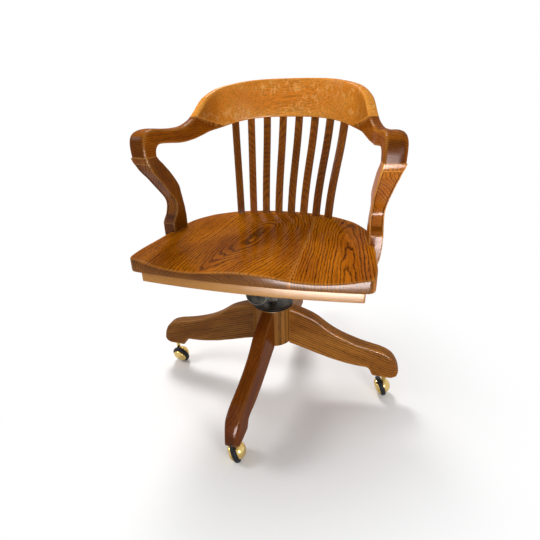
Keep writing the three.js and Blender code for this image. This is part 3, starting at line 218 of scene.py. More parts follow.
# Tilt iron
PIVOT_Z = 399
PIVOT_PIN_RADIUS = 6.5
PIVOT_HEAD_RADIUS = 9.5
PIVOT_HEAD = 3
PIVOT_HEAD_SHARES = ((0.55, 0.9), (0.9, 0.45))
PIVOT_BOSS_RADIUS = 14
PIVOT_BOSS_HALF = 32.6
HOUSING_BOTTOM = 345
HOUSING_RADIUS = 21
HOUSING_WEB_HALF = 17
EAR_THICKNESS = 6
EAR_GAP = 0.5
IRON_THICKNESS = 5
IRON_FRONT = -112
IRON_REAR = 76
IRON_HALF_WIDTH = 82
IRON_ARM_WIDTH = 34
IRON_SCREW_RADIUS = 3
IRON_SCREW_HEAD_RADIUS = 6
IRON_SCREW_HEAD = 3.4
IRON_SCREW_DEEP = 12
IRON_SCREW_TURN = 40
CRANK_THICKNESS = 6
STUD_Z = 361
STUD_RADIUS = 5
STUD_END = -163
STUD_BOSS_RADIUS = 11
STUD_BOSS_LENGTH = 7
STUD_BOSS_ROOT = 2
STUD_PITCH = 2
STUD_THREAD = 0.7
KNOB_FRONT = -156
KNOB_RADIUS = 26
KNOB_RIM_DEPTH = 15
KNOB_WALL = 2.4
KNOB_HUB_RADIUS = 10
KNOB_HUB_LENGTH = 18
SPRING_WIRE_RADIUS = 2.4
SPRING_RADIUS = 13
SPRING_TURNS = 9
SPRING_CLOSED_GAP = 0.9
SPRING_MIDDLE_TURN = SPRING_TURNS / 2
SPRING_STEPS = 48
TENSION_WASHER_RADIUS = 17
TENSION_WASHER_THICKNESS = 3
SPRING_FRONT = KNOB_FRONT + KNOB_HUB_LENGTH + TENSION_WASHER_THICKNESS + 2 * TOUCH
SPRING_REAR = -(HOUSING_RADIUS + STUD_BOSS_LENGTH) - 2 * TOUCH - CRANK_THICKNESS

# Hub and legs
BASE_YAW = -2.2
LEG_NAMES = ("front", "right", "rear", "left")
HUB_RADIUS = 54
HUB_BOTTOM = 148
HUB_ROUND = 2
LEG_HALF_THICKNESS = 17.5
LEG_TOE_HALF = 12
LEG_TOE_SHARES = (0.93, 1.02)
LEG_REACH = 351
LEG_TOP_ROUND = 8
LEG_LOWER_ROUND = 2.5
LEG_PAD = 77
LEG_CROWN = HUB_TOP - LEG_PAD
# rungs of a leg: along and height of the underside, along and height of the top
LEG_RUNG_SHARES = (
    (0.131, 0.373, 0.131, 0.997), (0.217, 0.334, 0.217, 0.947), (0.285, 0.296, 0.291, 0.898),
    (0.353, 0.257, 0.353, 0.84), (0.407, 0.229, 0.405, 0.768), (0.464, 0.199, 0.462, 0.693),
    (0.527, 0.174, 0.53, 0.624), (0.59, 0.152, 0.604, 0.568), (0.672, 0.135, 0.695, 0.513),
    (0.746, 0.13, 0.775, 0.477), (0.769, 0.122, 0.801, 0.467), (0.785, 0.097, 0.823, 0.459),
    (0.795, 0.062, 0.843, 0.45), (0.806, 0.02, 0.863, 0.438), (0.818, 0, 0.882, 0.426),
    (0.855, 0, 0.91, 0.4), (0.89, 0, 0.939, 0.36), (0.925, 0, 0.966, 0.296),
    (0.958, 0.004, 0.988, 0.208), (0.988, 0.03, 1, 0.11),
)

# Ball casters
STEM_CIRCLE_RADIUS = 317
CASTER_TRAIL = 9
AXLE_TILT = 18
TYRE_RADIUS = 27.5
TYRE_WIDTH = 13
TYRE_DEPTH = 6
TYRE_EDGE = 3
TYRE_OFFSET = 4
BALL_RADIUS = 22.5
HOOD_WALL = 2.2
HOOD_BOSS_RADIUS = 6
HOOD_BOSS_FACE = -4.6
AXLE_RADIUS = 3
AXLE_BACK = -18
AXLE_FRONT = 14
WHEEL_DOME = 20
WHEEL_WALL = 2.4
WHEEL_HUB_RADIUS = 6.2
WHEEL_DOME_POWER = 0.8
STEM_RADIUS = 4
STEM_LENGTH = 34
STEM_SHOULDER_RADIUS = 7
STEM_SHOULDER = 9
STEM_BEVEL = 1
HORN_RADIUS = 5.6
HORN_DEEP = 12
SOCKET_WALL = 1.3
SOCKET_LENGTH = 38
SOCKET_FLANGE_RADIUS = 10.5
SOCKET_FLANGE = 1.6
HEADINGS = (112, 108, 205, 350)
HANDS = (1, 1, -1, -1)

# Boards of wood
# a point on the pith sets where the rings are cut; places on the right are mirrored for the left
SEAT_GLUE_POINT = (93, -47, 0)
SEAT_GLUE_NORMAL = (378, 6, 0)
SEAT_LEFT_PITH = (-38, 70, 407)
SEAT_RIGHT_PITH = (192, 60, 431)
FRONT_BATTEN_PITH = (0, -260, 350)
REAR_BATTEN_PITH = (90, 60, 350)
CREST_PITH = (60, 150, 400)
ARM_PITH = (240, 0, 560)
POST_PITH = (140, 90, 540)
SLAT_PITH = (-30, 40, 600)
SLAT_PITH_STEP = (60, 22, 0)
HUB_PITH = (10, 30, 200)
LEG_PITH_ASIDE = 170
LEG_GRAIN_FALL = -0.3
# how far a pith bows away at the bow's length, against the grain and along it
BOW_LENGTH = 100
SEAT_LEFT_BOW = (3, 20)
SEAT_RIGHT_BOW = (0, 1)
# how much lighter than its material a board is, from left to right, or in the order of the legs
SEAT_RIGHT_TONE = 0.14
REAR_BATTEN_TONE = -0.1
# the posts' tones are painted light and shade: the left post darkened, the right lightened where the light
# falls
POST_LIGHT_AND_SHADE_TONES = (-0.38, 0.36)
SLAT_TONES = ((0.1, -0.06, 0.2, -0.14), (-0.1, 0.14, -0.12, 0.05))
HUB_TONE = -0.28
# the legs' tones are painted light and shade: the front leg darkest under the seat's shadow, the left darker,
# the right lighter where the light falls
LEG_LIGHT_AND_SHADE_TONES = (-0.46, 0.22, 0.0, -0.3)

# Finish of the wood
# share of the stain's colour on end grain, and the cosines between face and grain from which it counts
END_GRAIN_SHARE = 0.62
END_GRAIN_COSINES = (0.72, 0.98)
# cosines between a face and straight up where people sit, and the share of gloss that they take there
SAT_ON_COSINES = (0.3, 0.9)
SEAT_DULLED = 0.75
# bends per millimetre between which an edge is worn and painted with a highlight, and the square of the
# shortest edge that is measured
WORN_AND_HIGHLIT_BENDS = (0.09, 0.24)
SHORTEST_SQUARED = 0.01

# Materials
RAY_COLOUR = 0xFFBE66
# lighter colour of rubbed edges, also a painted highlight on rounded edges
WORN_AND_HIGHLIT_COLOUR = 0xE0A050
PORE_DEPTH = 0.25
NAP_DEPTH = 0.1
# how far, in metres along, across and into the trunk, its rays are combed aside
RAY_COMB = (0.02, 0.012, 0.012)
# bends of the trunk: features per metre along, across and into it, and how far they shift it
TRUNK_WANDERS = (((1.6, 7, 7), 34), ((9, 40, 40), 11), ((48, 110, 110), 2.6))
# settings that many nodes share
TIMES = {"operation": "MULTIPLY"}
SMOOTHED = {"interpolation_type": "SMOOTHSTEP"}
COLOURED = {"data_type": "RGBA"}

# Stage, in metres and watts
FLOOR_RADIUS = 6
FLOOR_FADE = (0.25, 0.75)
LAMP_AIM = (0, 0, 0.45)
# name, place, size and power of each softbox; the sheet lies on the floor in front, comes last and only
# shows as a sheen in the varnish
SOFTBOXES = (
    ("window", (1.05, -1.2, 0.6), 0.5, 9),
    ("side", (-2.0, -0.9, 1.9), 0.8, 22),
    ("top", (-0.9, 1.3, 2.3), 0.7, 44),
    ("sheet", (0.3, -1.15, 0.04), 0.9, 130),
)

# Bends that ease the corners of a profile, by length, and the share of a side that a bend may take
EASE = 0.5
THIN_EASE = 0.4
SCREW_EASE = 0.6
PIN_EASE = 0.8
SOFT_EASE = 1.0
CAST_EASE = 1.5
TYRE_EASE = 1.6
OUTLINE_EASE = 4.0
EASE_LIMIT_SHARE = 0.4
CORNER_LIMIT_SHARE = 0.48

# Fineness of the surfaces
AROUND = 96
ROW_STEPS = 8
CORNER_STEPS = 6
EASE_STEPS = 5
ARC_STEPS = 16
HOOD_STEPS = 24
DOME_STEPS = 14
OUTLINE_STEPS = 7
THREAD_STEPS = 10
SEAT_RINGS = 64
SEAT_EYE_SHARE = 0.015
RAIL_FLATS = (3, 8, 3, 8)
LEG_FLATS = (5, 8, 5, 8)
POST_FLATS = (34, 6, 6, 6)
SCREW_SIDES = 40
PIN_SIDES = 48
AXLE_SIDES = 32
WIRE_SIDES = 16
FLOOR_SIDES = 64
SMOOTH_ANGLE = 35


def through(rows, places):
    """Catmull-Rom curve through rows of numbers: at a place between two rows, the value is the cubic that
    leaves and meets them along the lines that join their neighbours."""
    rows = np.asarray(rows, float)
    last = len(rows) - 1
    at = np.clip(np.asarray(places, float), 0, last)
    low = np.minimum(np.floor(at).astype(int), last - 1)
    t = (at - low)[:, None]
    p, q, r, s = (rows[np.clip(low + n, 0, last)] for n in (-1, 0, 1, 2))
    square, cube = 2 * p - 5 * q + 4 * r - s, 3 * q - p - 3 * r + s
    return 0.5 * (2 * q + (r - p) * t + square * t ** 2 + cube * t ** 3)


def smooth(low, high, value):
    """0 below low, 1 above high, and the cubic 3t^2 - 2t^3 of the share between them."""
    t = np.clip((np.asarray(value, float) - low) / (high - low), 0, 1)
    return t * t * (3 - 2 * t)


def unit(vectors):
    """Each vector over its own length."""
    return vectors / np.linalg.norm(vectors, axis=-1, keepdims=True)


def places_along(count, steps):
    """Evenly spaced places from the first of count rows to the last, with steps between rows."""
    return np.linspace(0, count - 1, (count - 1) * steps + 1)


def volume_of(points, faces):
    """Six times the signed volume: each face is fanned from its first corner, and each triangle adds the
    triple product of its corners."""
    total = 0
    for size in sorted({len(face) for face in faces}):
        corners = points[np.array([face for face in faces if len(face) == size])]
        for n in range(1, size - 1):
            total += np.einsum("ij,ij->i", corners[:, 0], np.cross(corners[:, n], corners[:, n + 1])).sum()
    return total


def outward(points, faces):
    """The same shape with its faces pointing out, judged by the sign of its volume."""
    if volume_of(points, faces) < 0:
        faces = [face[::-1] for face in faces]
    return points, faces


def skin(rings, ends=None, wrap=False):
    """Closed skin over rings[row, k]: point k of a row joins point k of the next. Each end closes on a point,
    its ring's middle where none is given. With wrap, the last row joins the first instead."""
    rings = np.asarray(rings, float)
    rows, around, _ = rings.shape
    start = np.arange(rows if wrap else rows - 1)[:, None] * around
    after = (start + around) % (rows * around)
    k = np.arange(around)[None]
    turn = (k + 1) % around
    faces = np.stack([start + k, start + turn, after + turn, after + k], axis=-1).reshape(-1, 4).tolist()
    points = rings.reshape(-1, 3)
    if not wrap:
        middles = rings[[0, -1]].mean(axis=1) if ends is None else np.asarray(ends, float)
        low, high = rows * around, rows * around + 1
        last = (rows - 1) * around
        faces += [[low, (n + 1) % around, n] for n in range(around)]
        faces += [[high, last + n, last + (n + 1) % around] for n in range(around)]
        points = np.concatenate([points, middles])
    return outward(points, faces)


def rounded(corners, radii, flats=(2, 2, 2, 2)):
    """Rings round four corners: a corner is a quadratic bend that starts and ends its radius away along the
    two sides, and flats gives how many points lie between the bends on each side."""
    corners = np.asarray(corners, float)
    bends = []
    t = np.linspace(0, 1, CORNER_STEPS)[None, :, None]
    for n in range(4):
        corner = corners[:, n]
        before = corners[:, (n + 3) % 4] - corner
        after = corners[:, (n + 1) % 4] - corner
        sides = [np.linalg.norm(side, axis=1, keepdims=True) for side in (before, after)]
        reach = np.minimum(radii[n], CORNER_LIMIT_SHARE * np.minimum(*sides))
        start = (corner + before / sides[0] * reach)[:, None]
        end = (corner + after / sides[1] * reach)[:, None]
        bends.append((1 - t) ** 2 * start + 2 * t * (1 - t) * corner[:, None] + t ** 2 * end)
    ring = []
    for n in range(4):
        ring.append(bends[n])
        u = np.linspace(0, 1, flats[n] + 2)[1:-1][None, :, None]
        ring.append(bends[n][:, -1:] * (1 - u) + bends[(n + 1) % 4][:, :1] * u)
    return np.concatenate(ring, axis=1)


def eased(profile, radius):
    """The profile with each inner corner turned into a quadratic bend, radius long on either side or the
    limit's share of the shorter side."""
    profile = [np.array(point, float) for point in profile]
    closed = np.allclose(profile[0], profile[-1])
    body = profile[:-1] if closed else profile
    count = len(body)
    out = []
    for n, corner in enumerate(body):
        if not closed and n in (0, count - 1):
            out.append(corner)
            continue
        before, after = body[n - 1] - corner, body[(n + 1) % count] - corner
        sides = np.linalg.norm(before), np.linalg.norm(after)
        reach = min(radius, EASE_LIMIT_SHARE * sides[0], EASE_LIMIT_SHARE * sides[1])
        start, end = corner + before / sides[0] * reach, corner + after / sides[1] * reach
        out += [(1 - t) ** 2 * start + 2 * t * (1 - t) * corner + t ** 2 * end
                for t in np.linspace(0, 1, EASE_STEPS)]
    return out + [out[0]] if closed else out


def turned(profile, radius=EASE, steps=AROUND):
    """Turned solid about Z: the eased profile of [radius, height] points swept through even angles. It runs
    from the axis to the axis, or closes on itself."""
    profile = np.array(eased(profile, radius) if radius else profile, float)
    angle = np.arange(steps) / steps * 2 * math.pi
    across = np.stack([np.cos(angle), np.sin(angle), np.zeros(steps)], axis=-1)
    closed = np.allclose(profile[0], profile[-1])
    kept = profile[:-1] if closed else profile[1:-1]
    rings = kept[:, 0, None, None] * across + kept[:, 1, None, None] * np.array([0, 0, 1])
    if closed:
        return skin(rings, wrap=True)
    return skin(rings, ends=[(0, 0, profile[0][1]), (0, 0, profile[-1][1])])


def rod(radius, low, high, ease=EASE, steps=AROUND):
    """Turned rod from one height to another."""
    return turned([(0, low), (radius, low), (radius, high), (0, high)], ease, steps)


def washer(bore, radius, low, high, ease=EASE):
    """Turned ring of oblong section from one height to another."""
    return turned([(bore, low), (radius, low), (radius, high), (bore, high), (bore, low)], ease)


def flanged_tube(bore, flange_radius, radius, heights, ease=EASE, steps=AROUND):
    """Turned tube on a flange, by the heights of the flange's underside and top and of the tube's end."""
    low, step, high = heights
    return turned([(bore, low), (flange_radius, low), (flange_radius, step), (radius, step), (radius, high),
                   (bore, high), (bore, low)], ease, steps)


def threaded(radius, depth, pitch, low, high):
    """Screw thread about Z: at height z and angle a the radius drops by depth times a rounded saw of
    z / pitch - a / 2 pi, fading out over the last turn at each end."""
    rows = int((high - low) / pitch * THREAD_STEPS)
    z = np.linspace(low, high, rows)[:, None]
    angle = (np.arange(AROUND // 2) / (AROUND // 2) * 2 * math.pi)[None]
    share = (z / pitch - angle / (2 * math.pi)) % 1
    down, up = THREAD_FLANK_SHARES
    groove = smooth(*down, share) * (1 - smooth(*up, share))
    fade = smooth(low, low + pitch, z) * (1 - smooth(high - pitch, high, z))
    out = radius - depth * (groove * fade + (1 - fade) * THREAD_END_SHARE)
    return skin(np.stack([out * np.cos(angle), out * np.sin(angle), z + 0 * angle], axis=-1))


def along_y(shape):
    """A shape made upright about Z, laid along +Y."""
    points, faces = shape
    return np.stack([points[:, 0], points[:, 2], -points[:, 1]], axis=-1), faces


def along_x(shape):
    """A shape made upright about Z, laid along +X."""
    points, faces = shape
    return np.stack([points[:, 2], points[:, 1], -points[:, 0]], axis=-1), faces


def moved(shape, x=0, y=0, z=0):
    """The shape shifted."""
    points, faces = shape
    return points + np.array([x, y, z], float), faces


def spun(shape, degrees):
    """The shape turned about Z."""
    points, faces = shape
    a = math.radians(degrees)
    turn = np.array([[math.cos(a), math.sin(a), 0], [-math.sin(a), math.cos(a), 0], [0, 0, 1]])
    return points @ turn, faces


def flipped(shape, axis=0):
    """The mirror image across the plane square to one axis, its faces turned to point out again."""
    points, faces = shape
    points = points.copy()
    points[:, axis] *= -1
    return points, [face[::-1] for face in faces]


def sided(shape, side):
    """The right-hand shape as it is, and its mirror image for the left."""
    return shape if side > 0 else flipped(shape)


def sided_place(place, side):
    """The right-hand place as it is, and its mirror image for the left."""
    return np.array(place) * (side, 1, 1)


def on_stud(shape, y=0):
    """A shape made upright about Z, laid on the tension stud's line."""
    return moved(along_y(shape), y=y, z=STUD_Z)


def on_pivot(shape):
    """A shape made upright about Z, laid on the tilt pivot's line."""
    return moved(along_x(shape), z=PIVOT_Z)


def block(low, high):
    """Box between two corners."""
    (x0, y0, z0), (x1, y1, z1) = low, high
    ring = [(x0, y0), (x1, y0), (x1, y1), (x0, y1)]
    return skin([[(x, y, z) for x, y in ring] for z in (z0, z1)])


def plate(outline, low, high, ease):
    """Flat outline raised from one height to another, its long edges eased by rings that step in as they
    near the two faces, by the quarter circle's sine and cosine."""
    outline = np.asarray(outline, float)
    edge = unit(np.roll(outline, -1, axis=0) - outline)
    normal = np.stack([edge[:, 1], -edge[:, 0]], axis=-1)
    normal = unit(normal + np.roll(normal, 1, axis=0))
    quarter = np.linspace(0, math.pi / 2, EASE_STEPS)
    steps = [(1 - math.sin(a), 1 - math.cos(a)) for a in quarter]
    rows = [(low + ease * rise, ease * inset) for inset, rise in steps]
    rows += [(high - ease * rise, ease * inset) for inset, rise in steps[::-1]]
    rings = [np.column_stack([outline - normal * inset, np.full(len(outline), z)]) for z, inset in rows]
    return skin(rings)


def placed(name, data):
    """A new object in the scene, of a mesh, a lamp or a camera."""
    thing = bpy.data.objects.new(name, data)
    bpy.context.scene.collection.objects.link(thing)
    return thing


def make_mesh(name, shapes):
    """One mesh of several closed shapes, in metres, its faces smooth where they meet under a small angle."""
    points, faces, count = [], [], 0
    for more_points, more_faces in shapes:
        points.append(more_points)
        faces += [[corner + count for corner in face] for face in more_faces]
        count += len(more_points)
    mesh = bpy.data.meshes.new(name)
    mesh.from_pydata((np.concatenate(points) * MM).tolist(), [], faces)
    mesh.polygons.foreach_set("use_smooth", np.ones(len(mesh.polygons), bool))
    mesh.set_sharp_from_angle(angle=math.radians(SMOOTH_ANGLE))
    mesh.update()
    return mesh


def worked(shape, *steps):
    """Shape after exact boolean steps, each ("UNION" or "DIFFERENCE", tools): the tools of one step lie clear
    of each other and are joined, cut or added at once."""
    piece = placed("work", make_mesh("work", [shape]))
    made = [piece]
    for operation, tools in steps:
        tool = placed("tool", make_mesh("tool", tools))
        made.append(tool)
        step = piece.modifiers.new(operation, "BOOLEAN")
        step.operation = operation
        step.object = tool
        step.solver = "EXACT"
    bpy.context.view_layer.update()
    mesh = bpy.data.meshes.new_from_object(piece.evaluated_get(bpy.context.evaluated_depsgraph_get()))
    points = np.zeros(len(mesh.vertices) * 3)
    mesh.vertices.foreach_get("co", points)
    faces = [list(face.vertices) for face in mesh.polygons]
    for thing in made:
        bpy.data.objects.remove(thing)
    return points.reshape(-1, 3) / MM, faces


def sliced(shape, point, normal):
    """The part of a closed shape behind a plane, its cut face filled."""
    cut = bmesh.new()
    cut.from_mesh(make_mesh("slice", [shape]))
    parts = list(cut.verts) + list(cut.edges) + list(cut.faces)
    place = Vector(point) * MM
    found = bmesh.ops.bisect_plane(cut, geom=parts, plane_co=place, plane_no=Vector(normal), clear_outer=True)
    edges = [part for part in found["geom_cut"] if isinstance(part, bmesh.types.BMEdge)]
    bmesh.ops.holes_fill(cut, edges=edges)
    cut.verts.index_update()
    points = np.array([vertex.co for vertex in cut.verts]) / MM
    faces = [[vertex.index for vertex in face.verts] for face in cut.faces]
    cut.free()
    return outward(points, faces)


def board(along, across, pith, tone=0.0, bow=(0.0, 0.0)):
    """How a piece was sawn: the grain's direction, a direction across it, a point on the pith in millimetres,
    how much lighter than its material it is, and how far the pith bows away at the bow's length from that
    point, against the grain's direction and along it."""
    along = unit(np.array(along, float))
    depth = unit(np.cross(along, np.array(across, float)))
    turn = np.stack([along, np.cross(depth, along), depth])
    return {"turn": turn, "pith": np.array(pith, float), "tone": tone, "bow": bow}


def edge_wear_and_highlight(mesh, points, normals):
    """How rounded outwards the surface is at each point, from 0 on the flat to 1 where it bends faster than
    on a 4 mm radius: the turn of the normal along each edge of the mesh over the edge's length."""
    ends = np.zeros(len(mesh.edges) * 2, int)
    mesh.edges.foreach_get("vertices", ends)
    first, second = ends.reshape(-1, 2).T
    step = points[second] - points[first]
    length = np.maximum((step * step).sum(axis=1), SHORTEST_SQUARED)
    bend = ((normals[second] - normals[first]) * step).sum(axis=1) / length
    sharpest = np.zeros(len(points))
    np.maximum.at(sharpest, first, bend)
    np.maximum.at(sharpest, second, bend)
    return smooth(*WORN_AND_HIGHLIT_BENDS, sharpest)


def finish_piece(name, shapes, material, body, stands_for, boards=(), painted_shade=(), dulled=0.0):
    """A piece in its place, riding a body where one is named, and standing for a node of the frame. Wood has
    a board for each of its shapes, and gets three attributes: grain, the place in the trunk with the pith
    along X, tone, how light the board is, and finish, which holds how much stain its end grain took together
    with any painted shade given for the piece, how worn its edges are together with the highlight painted on
    rounded edges, and how much gloss is left, which is less by the dulled share where people sit on it."""
    mesh = make_mesh(name, shapes)
    mesh.materials.append(material)
    piece = placed(name, mesh)
    if boards:
        count = len(mesh.vertices)
        normals = np.zeros(count * 3)
        mesh.vertices.foreach_get("normal", normals)
        normals = normals.reshape(-1, 3)
        grain, tone, ends, start = [], [], [], 0
        for (points, _), sawn in zip(shapes, boards):
            own = (points - sawn["pith"]) @ sawn["turn"].T
            bow = np.where(own[:, 0] < 0, *sawn["bow"])
            own[:, 2] += bow * (own[:, 0] / BOW_LENGTH) ** 2
            facing = np.abs(normals[start:start + len(points)] @ sawn["turn"][0])
            grain.append(own * MM)
            tone.append(np.full(len(points), sawn["tone"]))
            ends.append(smooth(*END_GRAIN_COSINES, facing) * END_GRAIN_SHARE)
            start += len(points)
        # the end grain's real stain, joined by any painted shade given for the piece
        stain_and_shade = np.maximum(np.concatenate(ends), painted_shade if len(painted_shade) else 0)
        # edges rounded outwards get lighter: partly real wear, partly a painted highlight
        worn = edge_wear_and_highlight(mesh, np.concatenate([points for points, _ in shapes]), normals)
        gloss = 1 - dulled * smooth(*SAT_ON_COSINES, normals[:, 2])
        finish = np.column_stack([stain_and_shade, worn, gloss])
        for word, kind, key, values in (("grain", "FLOAT_VECTOR", "vector", np.concatenate(grain)),
                                        ("tone", "FLOAT", "value", np.concatenate(tone)),
                                        ("finish", "FLOAT_VECTOR", "vector", finish)):
            mesh.attributes.new(word, kind, "POINT").data.foreach_set(key, values.ravel())
        varnished.objects.link(piece)
    if body:
        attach(piece, body)
    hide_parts(stands_for)
    return piece


def linear(colour):
    """sRGB hex value as a linear colour: each channel over 255, raised by the sRGB curve."""
    channels = np.array([colour >> 16 & 255, colour >> 8 & 255, colour & 255]) / 255
    curve = np.where(channels <= 0.04045, channels / 12.92, ((channels + 0.055) / 1.055) ** 2.4)
    return (*curve.tolist(), 1.0)


def node(tree, kind, inputs=(), **settings):
    """Adds a shader node with its settings and gives its outputs. The inputs are values or other nodes'
    outputs, in order, or by name or number."""
    made = tree.nodes.new("ShaderNode" + kind)
    for key, value in settings.items():
        setattr(made, key, value)
    for socket, source in inputs.items() if isinstance(inputs, dict) else enumerate(inputs):
        if isinstance(source, bpy.types.NodeSocket):
            tree.links.new(source, made.inputs[socket])
        else:
            made.inputs[socket].default_value = source
    return made.outputs


def new_material(name):
    """An empty node material and its tree."""
    material = bpy.data.materials.new(name)
    material.use_nodes = True
    material.node_tree.nodes.clear()
    return material, material.node_tree


def oak(name, deep, body, light, ring, rings=1.0, flecks=0.0, gloss=0.3, haze=0.14, wander=1.0, pitted=0.16,
        rubbed_and_highlit=0.2):
    """Ring-porous oak, sawn, stained and varnished. The early wood of each year is a band of open pores that
    holds dark stain, the late wood is dense and lighter, and rays cross it as pale flecks. Rings are
    cylinders about the pith, ring millimetres apart, bent by noise, so that carving through them makes the
    arches and ovals of the real board."""
    material, tree = new_material(name)
    trunk = node(tree, "Attribute", attribute_name="grain")["Vector"]
    tone = node(tree, "Attribute", attribute_name="tone")["Fac"]
    finish = node(tree, "Attribute", attribute_name="finish")["Vector"]
    stain_and_shade, worn, polish = node(tree, "SeparateXYZ", (finish,))

    def noise(scale, detail=2.0, rough=0.5, source=trunk):
        """Noise stretched by a scale of features per metre along, across and into the board."""
        spread = node(tree, "VectorMath", (source, scale), **TIMES)[0]
        return node(tree, "TexNoise", {"Vector": spread, "Scale": 1.0, "Detail": detail, "Roughness": rough})

    # the trunk wanders over half a metre, the years ripple over centimetres and jag over millimetres
    bent = trunk
    for scale, reach in TRUNK_WANDERS:
        sample = noise(scale, 1.0)["Color"]
        shift = node(tree, "VectorMath", (sample, (0.5, 0.5, 0.5)), operation="SUBTRACT")[0]
        reach *= wander * MM
        bent = node(tree, "VectorMath", (shift, (0, reach, reach), bent), operation="MULTIPLY_ADD")[0]
    flat = node(tree, "VectorMath", (bent, (0, 1, 1)), **TIMES)[0]
    radius = node(tree, "VectorMath", (flat,), operation="LENGTH")["Value"]
    years = node(tree, "Math", (radius, ring * MM), operation="DIVIDE")[0]
    season = node(tree, "Math", (years,), operation="FRACT")[0]
    number = node(tree, "Math", (years,), operation="FLOOR")[0]
    year = node(tree, "TexWhiteNoise", {"W": number}, noise_dimensions="1D")[0]
    # early wood starts sharply and fades into late wood, and some years have less of it
    opening = node(tree, "MapRange", (season, 0.0, 0.1), **SMOOTHED)[0]
    closing = node(tree, "MapRange", (season, 0.26, 0.66, 1.0, 0.0), **SMOOTHED)[0]
    plenty = node(tree, "MapRange", (year, 0.0, 0.8, 0.55, 1.0), **SMOOTHED)[0]
    early = node(tree, "Math", (opening, closing), **TIMES)[0]
    early = node(tree, "Math", (early, plenty), **TIMES)[0]
    # pores a third of a millimetre wide, drawn 1.2 mm wide and 16 mm long so that they show
    pores = node(tree, "MapRange", (noise((60, 800, 800), 1.0)["Fac"], 0.42, 0.6), **SMOOTHED)[0]
    filled = node(tree, "MapRange", (pores, 0.0, 1.0, 0.5, 1.0), **SMOOTHED)[0]
    banded = node(tree, "Math", (early, filled), **TIMES)[0]
    banded = node(tree, "Math", (banded, rings), **TIMES)[0]
    strewn = node(tree, "Math", (pores, pitted), **TIMES)[0]
    stained = node(tree, "Math", (banded, strewn), operation="MAXIMUM")[0]
    fibre = noise((12, 380, 380), 2.0, 0.6)["Fac"]
    cloud = noise((5, 16, 16), 2.0)["Fac"]
    layers = [(node(tree, "MapRange", (cloud, 0.3, 0.7), **SMOOTHED)[0], light),
              (node(tree, "MapRange", (fibre, 0.4, 0.75, 0.0, 0.4), **SMOOTHED)[0], deep)]
    if flecks:
        # rays, drawn a little coarse: 4 mm wide and up to 20 mm high, bent like combed hair
        bend = noise((46, 46, 46), 1.0)["Color"]
        combed = node(tree, "VectorMath", (bend, RAY_COMB, trunk), operation="MULTIPLY_ADD")[0]
        ray = noise((150, 70, 70), 1.5, 0.5, combed)["Fac"]
        ray = node(tree, "MapRange", (ray, 0.48, 0.68), **SMOOTHED)[0]
        patch = node(tree, "MapRange", (noise((9, 14, 20), 1.0)["Fac"], 0.36, 0.6), **SMOOTHED)[0]
        ray = node(tree, "Math", (ray, patch), **TIMES)[0]
        layers.append((node(tree, "Math", (ray, flecks), **TIMES)[0], RAY_COLOUR))
    # edges that hands reach are rubbed back to bare wood, and the same lightening paints the highlight that
    # rounded edges catch, but not where stain or painted shade has gathered
    hidden = node(tree, "Math", (stain_and_shade, 0.8), **TIMES)[0]
    reached = node(tree, "Math", (1.0, hidden), operation="SUBTRACT")[0]
    worn = node(tree, "Math", (worn, reached), **TIMES)[0]
    layers += [(node(tree, "Math", (stained, 0.94), **TIMES)[0], deep), (stain_and_shade, deep),
               (node(tree, "Math", (worn, rubbed_and_highlit), **TIMES)[0], WORN_AND_HIGHLIT_COLOUR)]
    colour = linear(body)
    for share, layer in layers:
        colour = node(tree, "Mix", {0: share, 6: colour, 7: linear(layer)}, **COLOURED)[2]
    lightness = node(tree, "Math", (tone, 1.0), operation="ADD")[0]
    colour = node(tree, "HueSaturation", {"Value": lightness, "Color": colour})[0]
    sunk = node(tree, "Math", (stained, 0.8), **TIMES)[0]
    height = node(tree, "Math", (1.0, sunk), operation="SUBTRACT")[0]
    relief = node(tree, "Bump", {"Strength": 0.35, "Distance": PORE_DEPTH * MM, "Height": height})[0]
    varnish = node(tree, "Math", (polish, gloss), **TIMES)[0]
    shader = node(tree, "BsdfPrincipled", {
        "Base Color": colour, "Roughness": 0.5, "IOR": 1.5, "Specular IOR Level": 0.0, "Coat Weight": varnish,
        "Coat Roughness": haze, "Normal": relief})
    node(tree, "OutputMaterial", (shader[0],))
    return material


def metal(name, body, worn, roughness, patch_mm, shine=1.0, grit_mm=0.0, grit_depth=0.0):
    """Metal with a patina: body colour, rubbed lighter in patches of patch_mm, and with grit_mm the small
    bumps that sand casting or peening leaves."""
    material, tree = new_material(name)
    place = node(tree, "TexCoord")["Object"]
    patch = node(tree, "TexNoise", {"Vector": place, "Scale": 1 / (patch_mm * MM), "Detail": 4.0})["Fac"]
    share = node(tree, "MapRange", (patch, 0.38, 0.68))[0]
    colour = node(tree, "Mix", {0: share, 6: linear(body), 7: linear(worn)}, **COLOURED)[2]
    matt = node(tree, "MapRange", (patch, 0.3, 0.7, roughness * 1.25, roughness * 0.8))[0]
    inputs = {"Base Color": colour, "Metallic": shine, "Roughness": matt}
    if grit_mm:
        grit = node(tree, "TexNoise", {"Vector": place, "Scale": 1 / (grit_mm * MM), "Detail": 2.0})["Fac"]
        inputs["Normal"] = node(tree, "Bump", {
            "Strength": 1.0, "Distance": grit_depth * MM, "Height": grit})[0]
    shader = node(tree, "BsdfPrincipled", inputs)
    node(tree, "OutputMaterial", (shader[0],))
    return material


def rubber(name, body, dust, roughness, grit_mm):
    """Moulded rubber or pressed fibre: near black, its high grains a little greyer with dust."""
    material, tree = new_material(name)
    place = node(tree, "TexCoord")["Object"]
    grain = node(tree, "TexNoise", {"Vector": place, "Scale": 1 / (grit_mm * MM), "Detail": 3.0})["Fac"]
    share = node(tree, "MapRange", (grain, 0.42, 0.75))[0]
    colour = node(tree, "Mix", {0: share, 6: linear(body), 7: linear(dust)}, **COLOURED)[2]
    relief = node(tree, "Bump", {"Strength": 0.6, "Distance": NAP_DEPTH * MM, "Height": grain})[0]
    shader = node(tree, "BsdfPrincipled", {
        "Base Color": colour, "Roughness": roughness, "Specular IOR Level": 0.25, "Normal": relief})
    node(tree, "OutputMaterial", (shader[0],))
    return material


